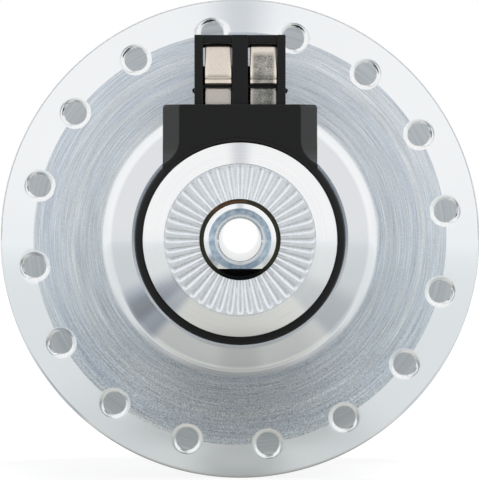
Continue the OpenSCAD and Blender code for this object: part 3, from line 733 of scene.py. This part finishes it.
def flanged_shell(name, side, first_hole, inside_outline):
    """One half of the shell: the flange with its spoke holes, and what the inside outline adds behind it."""
    bm = bmesh.new()
    half = math.pi / spoke_holes
    angles = circle_angles(spoke_holes * sector_steps, first_hole - half)
    revolve(bm, rim_outline(), angles, side, closed=False)
    revolve(bm, outer_face_outline() + inside_outline + barrel_root(), angles, side, closed=False)
    for hole_angle in circle_angles(spoke_holes, first_hole):
        spoke_hole(bm, hole_angle, side)
    forged_limit = (flange_in + 0.2) * MM
    for face in bm.faces:
        if face.material_index == 0 and abs(face.calc_center_median().y) < forged_limit:
            face.material_index = 2
    materials = [shell_aluminium, cut_aluminium, forged_aluminium]
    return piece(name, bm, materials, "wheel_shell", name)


spigot_r = barrel_in_r - fit
spigot_in_r = spigot_r - spigot_wall
groove_low, groove_high, groove_floor_r = o_ring_groove
cover_inside = [
    (spigot_in_r, face_height(spigot_in_r) - disc_t),
    (spigot_in_r, spigot_end),
    (spigot_r, spigot_end),
    (spigot_r, groove_low),
    (groove_floor_r, groove_low),
    (groove_floor_r, groove_high),
    (spigot_r, groove_high),
    (spigot_r, joint),
    (barrel_r, joint),
]
shell_inside = [
    (barrel_in_r, face_height(barrel_in_r) - disc_t),
    (barrel_in_r, -joint),
    (barrel_r, -joint),
]
flanged_shell("shell_cover", 1, first_spoke_hole, cover_inside)
flanged_shell("hub_shell", -1, first_spoke_hole + math.pi / spoke_holes, shell_inside)


# End nuts

# Section of one groove in the dropout face: distance from its middle and depth
groove_side = (
    (serration_half + 0.05, 0.0),
    (serration_half, 0.012),
    (serration_floor_half + 0.02, serration_depth - 0.04),
    (serration_floor_half - 0.03, serration_depth - 0.03),
)
groove_section = (
    [(-away, sunk) for away, sunk in groove_side]
    + [(0.0, serration_depth)]
    + list(reversed(groove_side))
)
# Radius, and the shares of its full width and depth that a groove has there: it narrows inwards and its
# outer end is round
groove_run = (
    (serration_in_r, 0.6, 0.8),
    (5.8, 0.72, 0.95),
    (6.5, 0.83, 1.0),
    (short_groove_r, 0.88, 1.0),
    (7.6, 0.95, 1.0),
    (8.4, 1.0, 1.0),
    (serration_out_r - 0.55, 1.0, 1.0),
    (serration_out_r - 0.4, 0.97, 0.97),
    (serration_out_r - 0.27, 0.88, 0.85),
    (serration_out_r - 0.16, 0.72, 0.62),
    (serration_out_r - 0.08, 0.52, 0.35),
    (serration_out_r - 0.02, 0.28, 0.1),
)
# Shares of a land's width where its points lie; its middle one is sunk into a short groove near the bore
land_shares = (0.25, 0.5, 0.75)
ring_points = len(groove_section) + len(land_shares)


def even_ring(bm, radius, along, side):
    """Ring of evenly spaced points on a nut."""
    step = math.tau / serration_count / ring_points
    first = math.pi / 2 - step * (len(groove_section) - 1) / 2
    angles = [first + step * i for i in range(serration_count * ring_points)]
    return [bm.verts.new(hub_point(radius, a, side * along)) for a in angles]


def grooved_ring(bm, radius, width, depth, side, offsets):
    """Ring of points on the dropout face that follows the grooves, at shares of their width and depth."""
    pitch = math.tau / serration_count
    middles = [math.pi / 2 + pitch * i + offset for i, offset in enumerate(offsets)]
    middles.append(middles[0] + math.tau)
    short_share = (short_groove_r - radius) / short_groove_run_out
    short = short_groove_depth * min(max(short_share, 0.0), 1.0)
    ring = []
    for middle, following in zip(middles, middles[1:]):
        for away, sunk in groove_section:
            angle = middle + math.asin(away * width / radius)
            ring.append(bm.verts.new(hub_point(radius, angle, side * (dropout_face - sunk * depth))))
        land = following - middle - 2 * math.asin(groove_section[-1][0] * width / radius)
        for share in land_shares:
            sunk = short if share == 0.5 else 0.0
            ring.append(bm.verts.new(hub_point(radius, angle + land * share, side * (dropout_face - sunk))))
    return ring


def nut_inside():
    """Outline of a nut's bore: its thread, a thin lip and the counterbored mouth with a bevelled edge."""
    lip_back = nut_mouth_floor - 0.5
    lip_lead = 0.1
    mouth_bevel = 0.22
    return [
        (nut_thread_r, nut_back),
        (nut_thread_r, lip_back - lip_lead),
        (nut_lip_r, lip_back),
        (nut_lip_r, nut_mouth_floor),
        (nut_mouth_r, nut_mouth_floor),
        (nut_mouth_r, dropout_face - mouth_bevel),
    ]


def nut_outside():
    """Outline of a nut from its dropout face over a chamfer and the cone to its back, with broken edges."""
    chamfer = 0.3
    edge = 0.05
    cone_foot = dropout_face - chamfer - edge - (nut_r - face_r - chamfer / 2) * math.tan(nut_slope)
    return [
        (serration_out_r, dropout_face),
        (face_r - 0.03, dropout_face),
        (face_r + 0.02, dropout_face - edge),
        (face_r + chamfer, dropout_face - chamfer),
        (nut_r - 0.08, cone_foot + edge),
        (nut_r, cone_foot - 0.06),
        (nut_r, nut_back),
    ]


def end_nut(name, side, seed):
    """Nut with the grooved dropout face, a conical shoulder and a counterbored mouth."""
    dice = random.Random(seed)
    offsets = [dice.uniform(-0.006, 0.006) for _ in range(serration_count)]
    bm = bmesh.new()
    rows = [even_ring(bm, r, s, side) for r, s in nut_inside()]
    rows += [grooved_ring(bm, r, width, depth, side, offsets) for r, width, depth in groove_run]
    rows += [even_ring(bm, r, s, side) for r, s in nut_outside()]
    skin(bm, rows, closed=True)
    floor_limit = (dropout_face - 0.01) * MM
    mouth_limit = (dropout_face - 0.2) * MM
    for face in bm.faces:
        middle = face.calc_center_median()
        r = math.hypot(middle.x, middle.z) / MM
        if r < nut_mouth_r + 0.01 and abs(middle.y) < mouth_limit:
            face.material_index = 3
        elif r < serration_out_r and abs(middle.y) > mouth_limit:
            face.material_index = 1 if abs(middle.y) > floor_limit else 2
    materials = [end_nut_steel, matt_steel, coined_steel, greased_mouth_and_painted_shade]
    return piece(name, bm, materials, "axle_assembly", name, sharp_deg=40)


end_nut("right_end_nut", 1, 1)
end_nut("left_end_nut", -1, 2)


# Axle


def finish_axle():
    """Gives the axle's ends their finishes: bright chamfers and bore, faced tips, threads behind them."""
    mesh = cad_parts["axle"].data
    tip_limit = axle_tip - 0.02
    chamfer_limit = tip_limit - axle_chamfer
    thread_limit = axle_relief - 0.1
    for material in (bright_steel, axle_end_steel, axle_face_zinc):
        mesh.materials.append(material)
    for face in mesh.polygons:
        r = math.hypot(face.center.x, face.center.z) / MM
        along = abs(face.center.y) / MM
        if r < axle_bore_r + axle_bore_chamfer:
            face.material_index = 1
        elif along > chamfer_limit and abs(face.normal.y) < 0.9:
            face.material_index = 1
        elif thread_limit < along < chamfer_limit:
            face.material_index = 2
        elif along > tip_limit:
            face.material_index = 3


finish_axle()


# End rings and connector


def lip_ring(bm, side, front):
    """Ring behind and round an end nut, with soft moulded edges."""
    outline = soften([
        (ring_web_in_r, ring_back, 0.1),
        (ring_web_in_r, nut_back, 0.1),
        (ring_lip_in_r, nut_back, 0.0),
        (ring_lip_in_r, front, 0.12),
        (ring_r, front - ring_lean, 0.4),
        (ring_r, ring_back, 0.12),
    ])
    revolve(bm, outline, circle_angles(192), side)


def left_end_ring():
    """Plain ring round the left end nut."""
    bm = bmesh.new()
    lip_ring(bm, -1, ring_front)
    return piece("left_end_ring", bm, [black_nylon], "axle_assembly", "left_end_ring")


def block_loop(along, flare_r, drop, low_r, inner_r):
    """Outline of the connector's block: round top corners, sides flared into the ring, hollow underside."""
    corner = 0.45
    flare_x = block_half - block_bevel + block_flare
    flare_y = math.sqrt((ring_r + block_flare) ** 2 - flare_x ** 2)
    foot_y = math.sqrt(low_r ** 2 - block_half ** 2)
    foot_deg = math.degrees(math.atan2(foot_y, block_half))
    side_x = flare_x - flare_r
    right = arc((side_x - corner, block_top - drop - corner), corner, 90, 0, 4)
    side_steps = 16
    for step in range(side_steps + 1):
        y = flare_y + (foot_y - flare_y) * step / side_steps
        reach = max(flare_r ** 2 - (flare_y - y) ** 2, 0.0)
        right.append((min(flare_x - math.sqrt(reach), block_half), y))
    right += arc((0, 0), inner_r, foot_deg, 90, 12)
    left = [(-x, y) for x, y in reversed(right[:-1])]
    return [at(x, y, along) for x, y in right + left]


def connector_block(bm):
    """Block at the connector's root: bevelled sides, edges rounded as the mould leaves them."""
    straight_r = block_flare - block_bevel
    bevel_back = ring_front - block_bevel
    under_nose_gap = 0.7
    under_nose_r = nose_r + under_nose_gap
    in_ring_r = (ring_r + ring_lip_in_r) / 2
    # Distance along the axle, radius of the flares and drop of the top, behind the ring and beside it
    behind = [
        (block_back, straight_r + 0.2, 0.2),
        (block_back + 0.06, straight_r + 0.06, 0.06),
        (block_back + 0.2, straight_r, 0.0),
        (ring_back, straight_r, 0.0),
    ]
    before = [
        (ring_back, straight_r, 0.0),
        (bevel_back - 0.12, straight_r, 0.0),
        (bevel_back + 0.02, straight_r + 0.05, 0.0),
        (bevel_back + 0.16, straight_r + 0.16, 0.0),
        (ring_front - 0.1, block_flare - 0.1, 0.006),
        (ring_front - 0.034, block_flare - 0.01, 0.05),
        (ring_front - 0.008, block_flare + 0.065, 0.1),
        (ring_front, block_flare + 0.145, 0.15),
        (ring_front, block_flare + 0.25, 0.25),
    ]
    loops = [block_loop(s, r, drop, under_nose_r, under_nose_r) for s, r, drop in behind]
    loops += [block_loop(s, r, drop, ring_r, in_ring_r) for s, r, drop in before]
    loft(bm, loops)


def cell_solid(bm, lines, filled):
    """Adds the outer faces of a grid's filled cells; lines are its cuts across, above and along the axle."""
    cells = set(filled)
    corners = {}

    def corner(i, j, k):
        if (i, j, k) not in corners:
            corners[i, j, k] = bm.verts.new(at(lines[0][i], lines[1][j], lines[2][k]))
        return corners[i, j, k]

    for cell in cells:
        for axis in range(3):
            for end in (0, 1):
                beside = list(cell)
                beside[axis] += 2 * end - 1
                if tuple(beside) in cells:
                    continue
                face = []
                for u, v in ((0, 0), (1, 0), (1, 1), (0, 1)):
                    step = [u, v]
                    step.insert(axis, end)
                    face.append(corner(*(c + s for c, s in zip(cell, step))))
                bm.faces.new(face)


def plug_frame(bm):
    """Frame that holds the plug: pillars beside two slots, a ledge over them and a low wall behind."""
    slot_out = terminal_pitch / 2 + slot_half
    slot_in = terminal_pitch / 2 - slot_half
    opening_low = (block_top + frame_top) / 2 + 0.6
    opening_high = contact_top - 0.3
    wall_t = 1.5
    sunk = 1.0
    lines = (
        (-frame_half, -slot_out, -slot_in, slot_in, slot_out, frame_half),
        (block_top - sunk, block_top, opening_low, opening_high, frame_top - ledge_h, frame_top),
        (frame_back, frame_back + wall_t, ledge_front, frame_front),
    )
    pillars = [(i, j, k) for i in (0, 2, 4) for j in range(5) for k in range(3)]
    foot = [(i, 0, k) for i in (1, 3) for k in range(3)]
    wall = [(i, j, 0) for i in (1, 3) for j in (1, 3)]
    ledge = [(i, 4, k) for i in (1, 3) for k in (0, 1)]
    frame_bm = bmesh.new()
    cell_solid(frame_bm, lines, pillars + foot + wall + ledge)
    bmesh.ops.recalc_face_normals(frame_bm, faces=frame_bm.faces)
    sharp = [e for e in frame_bm.edges if e.calc_face_angle() > 0.5]
    bmesh.ops.bevel(frame_bm, geom=sharp, offset=frame_edge * MM, segments=3, profile=0.5, affect="EDGES")
    spare = bpy.data.meshes.new("plug_frame")
    frame_bm.to_mesh(spare)
    frame_bm.free()
    bm.from_mesh(spare)
    bpy.data.meshes.remove(spare)


def snap_ridges(bm):
    """Round ridge along each outer side of the plug frame, with softened ends."""
    height = block_top + 1.8
    back = frame_back + 1
    front = frame_front - 1
    edge = 0.1
    for x in (-frame_half, frame_half):
        full = arc((x, height), ridge_r, 0, 330, 11)
        small = arc((x, height), ridge_r - edge, 0, 330, 11)
        run = ((small, back), (full, back + edge), (full, front - edge), (small, front))
        loft(bm, [[at(px, py, along) for px, py in outline] for outline, along in run])


def gap_shade_ribs(bm):
    """Low rib across each slot under the free end of its contact, a black stand-in for the shade in that gap.
    """
    half = slot_half + 0.2
    low = tab_top + 0.05
    high = contact_low + 0.15
    ends = (strip_back + strip_t + 0.02, tab_back + strip_t + 0.05)
    for x in (-terminal_pitch / 2, terminal_pitch / 2):
        rib = [(x - half, low), (x + half, low), (x + half, high), (x - half, high)]
        loft(bm, [[at(px, py, along) for px, py in rib] for along in ends])


def connector_housing():
    """Ring, block and plug frame in one moulding, with polished bevels beside the block that carry painted
    light.
    """
    behind_block = 0.015
    bm = bmesh.new()
    lip_ring(bm, 1, ring_front - behind_block)
    connector_block(bm)
    plug_frame(bm)
    snap_ridges(bm)
    gap_shade_ribs(bm)
    bmesh.ops.recalc_face_normals(bm, faces=bm.faces)
    # Painted light: bevels facing aside and forward get the lighter polished material
    for face in bm.faces:
        middle = face.calc_center_median() / MM
        beside_frame = abs(middle.x) > frame_half + 1 and middle.z < block_top
        if beside_frame and abs(face.normal.x) > 0.5 and face.normal.y < -0.3:
            face.material_index = 1
    materials = [black_nylon, polished_nylon_painted_light]
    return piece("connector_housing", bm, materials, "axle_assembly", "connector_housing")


left_end_ring()
connector_housing()


# Terminals


def ribbon(bm, path, x_middle, width, thickness, edge, crown):
    """Adds a strip of sheet metal along a path of (height, along), with rounded edges and a crowned face."""
    points = [Vector(p) for p in path]
    normals = []
    for i in range(len(points)):
        run = (points[min(i + 1, len(points) - 1)] - points[max(i - 1, 0)]).normalized()
        normals.append(Vector((-run.y, run.x)))
    half = width / 2
    steps = [(half, edge), (half - 0.3 * edge, 0.3 * edge), (half - edge, 0.0)]
    steps += [(half * share, 0.0) for share in (0.7, 0.4, 0.1)]
    across = [(-x, inset) for x, inset in steps] + [(x, inset) for x, inset in reversed(steps)]
    loops = []
    for x, inset in across:
        reach = thickness / 2 - inset
        sag = crown * (x / half) ** 2
        one = [p + n * (sag + reach) for p, n in zip(points, normals)]
        other = [p + n * (sag - reach) for p, n in zip(points, normals)]
        loops.append([at(x_middle + x, p.x, p.y) for p in one + other[::-1]])
    loft(bm, loops)


def contact_path():
    """Middle line of a terminal's strip: up, over the fold, down to the knee and out to the lip."""
    strip_middle = strip_back + strip_t / 2
    fold_bend = contact_bend - strip_t / 2
    fold = Vector((contact_top - contact_bend, strip_back + contact_bend))
    knee_bend = knee_r - strip_t / 2
    knee = Vector((knee_height, contact_front - knee_r))
    apart = fold - knee
    lean = math.degrees(math.atan2(-apart.y, apart.x) + math.asin((knee_bend - fold_bend) / apart.length))
    kicked = math.radians(90 + kick_deg)
    lip = knee + Vector((math.cos(kicked), math.sin(kicked))) * (knee_bend + lip_r)
    path = [(strip_low, strip_middle), (strip_half_way, strip_middle)]
    path += arc(fold, fold_bend, -90, 90 - lean, 14)
    path += arc(knee, knee_bend, 90 - lean, 90 + kick_deg, 8)
    path += arc(lip, lip_r, 270 + kick_deg, 270 - lip_lean_deg, 6)
    out = math.radians(lip_lean_deg)
    path.append((path[-1][0] - lip_length * math.cos(out), path[-1][1] + lip_length * math.sin(out)))
    return path


def stop_tab(bm, x_middle):
    """Tab in front of the strip's foot: round top corners and a rounded front edge."""
    edge = 0.1
    corner = 0.4
    front = tab_back + strip_t
    run = ((tab_back, 0.0), (front - edge, 0.0), (front - 0.3 * edge, 0.3 * edge), (front, edge))
    loops = []
    for along, inset in run:
        reach = terminal_w / 2 - inset
        top = tab_top - inset
        outline = [(-reach, strip_low), (reach, strip_low)]
        outline += arc((reach - corner, top - corner), corner, 0, 90, 5)
        outline += arc((corner - reach, top - corner), corner, 90, 180, 5)
        loops.append([at(x_middle + x, y, along) for x, y in outline])
    loft(bm, loops)


def terminal_foot(bm, side):
    """Foot of the strip inside the block, bent aside towards the middle where its lead ends."""
    low = ring_r + 0.2
    step = low + 1.4
    inner = side * 0.15
    outer = side * (terminal_pitch + terminal_w) / 2
    near = outer - side * terminal_w
    foot = [(inner, low), (outer, low), (outer, block_top), (near, block_top), (near, step), (inner, step)]
    ends = (strip_back + 0.01, strip_back + strip_t - 0.01)
    loft(bm, [[at(x, y, along) for x, y in foot] for along in ends])


def terminal(name, side, material):
    """Sheet-metal terminal: a strip folded over into a sprung contact, its stop tab and its foot."""
    x_middle = side * terminal_pitch / 2 + terminal_shift
    bm = bmesh.new()
    ribbon(bm, contact_path(), x_middle, terminal_w, strip_t, strip_edge, contact_crown)
    stop_tab(bm, x_middle)
    terminal_foot(bm, side)
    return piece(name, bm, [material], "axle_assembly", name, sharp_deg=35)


terminal("live_terminal", -1, nickel_plating)
terminal("return_terminal", 1, worn_nickel)


# Studio


def seen_by_eye(tree):
    """One for what the camera, reflections and clear pieces see, nothing for the light on matte things."""
    rays = put(tree, "LightPath").outputs
    seen = rays["Is Camera Ray"]
    for kind in ("Is Glossy Ray", "Is Transmission Ray"):
        seen = put(tree, "Math", {0: seen, 1: rays[kind]}, operation="MAXIMUM")
    return seen


# Brightness of the studio by direction: -1 is towards the camera, 0 to the sides, 1 away from it
dome_levels = (
    (-1.0, 0.16),
    (-0.975, 0.2),
    (-0.945, 0.86),
    (-0.92, 0.95),
    (-0.6, 0.96),
    (0.0, 0.97),
    (0.5, 1.0),
    (0.58, 0.25),
    (0.8, 0.25),
    (0.88, 1.0),
    (1.0, 1.0),
)
# Share of the dome's light that matte things get, the gap between the ceiling panels and what they add
dome_fill = 0.55
gap_level = 0.62
gap_width = 0.21
gap_foot = 0.35
ceiling_lift = 0.1
camera_zone_squeeze = 1.5


def make_dome():
    """White studio round the hub, darker towards the camera, in a band behind and between two panels."""
    world = bpy.data.worlds.new("studio_dome")
    bpy.context.scene.world = world
    world.use_nodes = True
    tree = world.node_tree
    aim = put(tree, "TexCoord").outputs["Generated"]
    right, back, up = put(tree, "SeparateXYZ", {0: aim}).outputs
    narrow = put(tree, "MapRange", {0: back, 1: -0.9, 2: -0.6, 3: camera_zone_squeeze, 4: 0.0})
    squeeze = put(tree, "Math", {0: right, 1: right}, operation="MULTIPLY")
    place = put(tree, "Math", {0: squeeze, 1: narrow, 2: back}, operation="MULTIPLY_ADD")
    share = put(tree, "MapRange", {0: place, 1: -1.0, 2: 1.0})
    ramp = put(tree, "ValToRGB", {0: share})
    stops = ramp.color_ramp.elements
    for _ in dome_levels[2:]:
        stops.new(1.0)
    for stop, (direction, grey) in zip(stops, dome_levels):
        stop.position = (direction + 1) / 2
        stop.color = (grey, grey, grey, 1.0)
    aside = put(tree, "Math", {0: right}, operation="ABSOLUTE")
    over = put(tree, "Math", {0: up, 1: gap_foot}, operation="MAXIMUM")
    lean = put(tree, "Math", {0: aside, 1: over}, operation="DIVIDE")
    fade = {0: lean, 1: 0.0, 2: gap_width, 3: gap_level, 4: 1.0}
    gap = put(tree, "MapRange", fade, interpolation_type="SMOOTHSTEP")
    behind = put(tree, "MapRange", {0: back, 1: 0.0, 2: 0.3})
    gap = put(tree, "Math", {0: gap, 1: behind}, operation="MAXIMUM")
    level = put(tree, "Math", {0: ramp, 1: gap}, operation="MULTIPLY")
    lift = put(tree, "MapRange", {0: up, 1: 0.0, 2: 0.3, 3: 0.0, 4: ceiling_lift})
    level = put(tree, "Math", {0: level, 1: lift}, operation="ADD")
    colour = put(tree, "MixRGB", {0: level, 1: srgb("00486A"), 2: srgb("FFFFFF")})
    strength = put(tree, "MapRange", {0: seen_by_eye(tree), 3: dome_fill, 4: 1.0})
    feed(tree, tree.nodes["Background"], {"Color": colour, "Strength": strength})


def make_lamp():
    """Soft lamp above and behind the hub, so that its shadow falls forward on the floor."""
    light = bpy.data.lights.new("soft_lamp", "AREA")
    light.shape = "DISK"
    light.size = 0.5
    light.energy = 6.5
    lamp = bpy.data.objects.new("soft_lamp", light)
    bpy.context.scene.collection.objects.link(lamp)
    lamp.visible_glossy = False
    lamp.location = (0.2, 0.5, 0.85)
    lamp.rotation_euler = lamp.location.to_track_quat("Z", "Y").to_euler()


# How far the floor is lifted towards white: seen straight on, and in reflections near the hub and far off
floor_lift_seen = 0.83
floor_lift_near = 0.56
floor_lift_far = 0.8
# Seen flat along it the table is paler and cooler: where that starts, where it is full, and how much
flat_view_start = 0.47
flat_view_full = 0.62
flat_sheen = 0.09
flat_cool = 0.3
# Reflections show the paper as a strip under the hub, with a greyer and cooler table beside it that pales
# with distance: edge of the strip, where the table is as pale again, and how much darker it starts.
# Lengths on the floor are in metres.
table_sides = (
    (-0.0255, -0.12, 0.24),
    (-0.035, -0.12, 0.2),
    (0.027, 0.11, 0.14),
)
# The table fades out in front of the hub, between these distances
table_full = -0.035
table_gone = -0.105
# Soft places of painted shade in front of the hub and under its rim, seen in reflections: place, half-widths
# and depth
painted_shade_places = (
    (0.0, -0.02, 0.04, 0.008, 0.25),
    (0.0, -0.031, 0.006, 0.006, 0.1),
    (0.0, -0.043, 0.018, 0.008, 0.2),
)
# The same, where only a flat view along the table shows the dark side of the studio in it
mirrored_places = (
    (0.0, -0.0315, 0.008, 0.005, 0.12),
    (0.0, -0.06, 0.02, 0.018, 0.4),
    (0.0, -0.11, 0.034, 0.038, 0.7),
    (0.0, -0.22, 0.06, 0.09, 0.7),
)


def add_places(tree, place, lift, places, share=1.0):
    """Takes soft dark places of painted shade and painted reflection off the floor's lift towards white."""
    for x, y, half_x, half_y, depth in places:
        out = put(tree, "VectorMath", {0: place, 1: (x, y, 0)}, operation="SUBTRACT")
        scale = (1 / half_x, 1 / half_y, 0)
        out = put(tree, "VectorMath", {0: out, 1: scale}, operation="MULTIPLY")
        out = put(tree, "VectorMath", {0: out}, operation="LENGTH").outputs["Value"]
        fade = {0: out, 1: 0.5, 2: 1.3, 3: depth, 4: 0.0}
        dip = put(tree, "MapRange", fade, interpolation_type="SMOOTHSTEP")
        dip = put(tree, "Math", {0: dip, 1: share}, operation="MULTIPLY")
        lift = put(tree, "Math", {0: lift, 1: dip}, operation="SUBTRACT")
    return lift


def make_floor_paper():
    """White seamless paper: matte, lifted towards white for what sees it, with the hub's shadow."""
    made, tree, shader = start_material("white_seamless_paper")
    place = put(tree, "TexCoord").outputs["Object"]
    away = put(tree, "VectorMath", {0: place}, operation="LENGTH").outputs["Value"]
    lift = put(tree, "MapRange", {0: away, 1: 0.1, 2: 1.5, 3: floor_lift_near, 4: floor_lift_far})
    across, deep, _ = put(tree, "SeparateXYZ", {0: place}).outputs
    flat_view = put(tree, "LayerWeight", {"Blend": 0.5}).outputs["Facing"]
    flat_view = put(tree, "MapRange", {0: flat_view, 1: flat_view_start, 2: flat_view_full})
    fade = {0: deep, 1: table_gone, 2: table_full}
    near_hub = put(tree, "MapRange", fade, interpolation_type="SMOOTHSTEP")
    steep_view = put(tree, "Math", {0: 1.0, 1: flat_view}, operation="SUBTRACT")
    table = put(tree, "Math", {0: near_hub, 1: steep_view}, operation="MULTIPLY")
    darker = 0.0
    for edge, pale, depth in table_sides:
        beside = put(tree, "MapRange", {0: across, 1: edge, 2: edge * 1.15})
        fade = {0: across, 1: edge, 2: pale, 3: depth, 4: 0.0}
        dip = put(tree, "MapRange", fade, interpolation_type="SMOOTHSTEP")
        dip = put(tree, "Math", {0: dip, 1: beside}, operation="MULTIPLY")
        darker = put(tree, "Math", {0: dip, 1: table, 2: darker}, operation="MULTIPLY_ADD")
    lift = put(tree, "Math", {0: lift, 1: darker}, operation="SUBTRACT")
    lift = put(tree, "Math", {0: flat_view, 1: flat_sheen, 2: lift}, operation="MULTIPLY_ADD")
    lift = add_places(tree, place, lift, painted_shade_places)
    lift = add_places(tree, place, lift, mirrored_places, flat_view)
    lift = put(tree, "Math", {0: lift, 1: 0.0}, operation="MAXIMUM")
    mirrored = put(tree, "LightPath").outputs["Is Glossy Ray"]
    lift = put(tree, "Mix", {0: mirrored, 2: floor_lift_seen, 3: lift})
    lift = put(tree, "Math", {0: seen_by_eye(tree), 1: lift}, operation="MULTIPLY")
    paper = put(tree, "MixRGB", {0: mirrored, 1: srgb("FFFFFF"), 2: srgb("FDFEF7")})
    cool = put(tree, "MapRange", {0: darker, 1: 0.0, 2: 0.3})
    cool = put(tree, "Math", {0: flat_view, 1: flat_cool, 2: cool}, operation="MULTIPLY_ADD")
    cool = put(tree, "Math", {0: cool, 1: mirrored}, operation="MULTIPLY")
    tone = put(tree, "MixRGB", {0: cool, 1: paper, 2: srgb("CFE0F4")})
    feed(tree, shader, {
        "Base Color": srgb("808080"),
        "Roughness": 0.9,
        "Emission Color": tone,
        "Emission Strength": lift,
    })
    return made


def make_floor():
    """Wide sheet of paper that the hub stands on."""
    half = 3.0
    level = cad_box[0][2]
    corners = ((-half, -half), (half, -half), (half, half), (-half, half))
    bm = bmesh.new()
    bm.faces.new([bm.verts.new((x, y, level)) for x, y in corners])
    mesh = bpy.data.meshes.new("floor")
    bm.to_mesh(mesh)
    bm.free()
    mesh.materials.append(make_floor_paper())
    floor = bpy.data.objects.new("floor", mesh)
    bpy.context.scene.collection.objects.link(floor)


make_dome()
make_lamp()
make_floor()


# Camera: the picture's size and the axle's place in it in pixels, distances and sensor in millimetres

PICTURE = (479, 480)
AXIS_PIXEL = (240.0, 238.6)
PIXELS_PER_RADIAN = 4298.6
CAMERA_DISTANCE = 586.8
CAMERA_RISE = 3.0
SENSOR = 36.0


def make_camera():
    """Camera far out along the axle, a hair above it, aimed level and shifted to frame the flange."""
    lens = bpy.data.cameras.new("camera")
    camera = bpy.data.objects.new("camera", lens)
    bpy.context.scene.collection.objects.link(camera)
    camera.location = (0, -CAMERA_DISTANCE * MM, CAMERA_RISE * MM)
    camera.rotation_euler = (math.pi / 2, 0, 0)
    lens.sensor_width = SENSOR
    lens.lens = SENSOR * PIXELS_PER_RADIAN / max(PICTURE)
    drop = CAMERA_RISE * PIXELS_PER_RADIAN / (CAMERA_DISTANCE - flange_out)
    lens.shift_x = (PICTURE[0] / 2 - AXIS_PIXEL[0]) / max(PICTURE)
    lens.shift_y = (AXIS_PIXEL[1] - PICTURE[1] / 2 - drop) / max(PICTURE)
    lens.clip_start = 0.01
    lens.clip_end = 20.0
    bpy.context.scene.camera = camera


make_camera()
bpy.context.scene.view_settings.view_transform = "Standard"
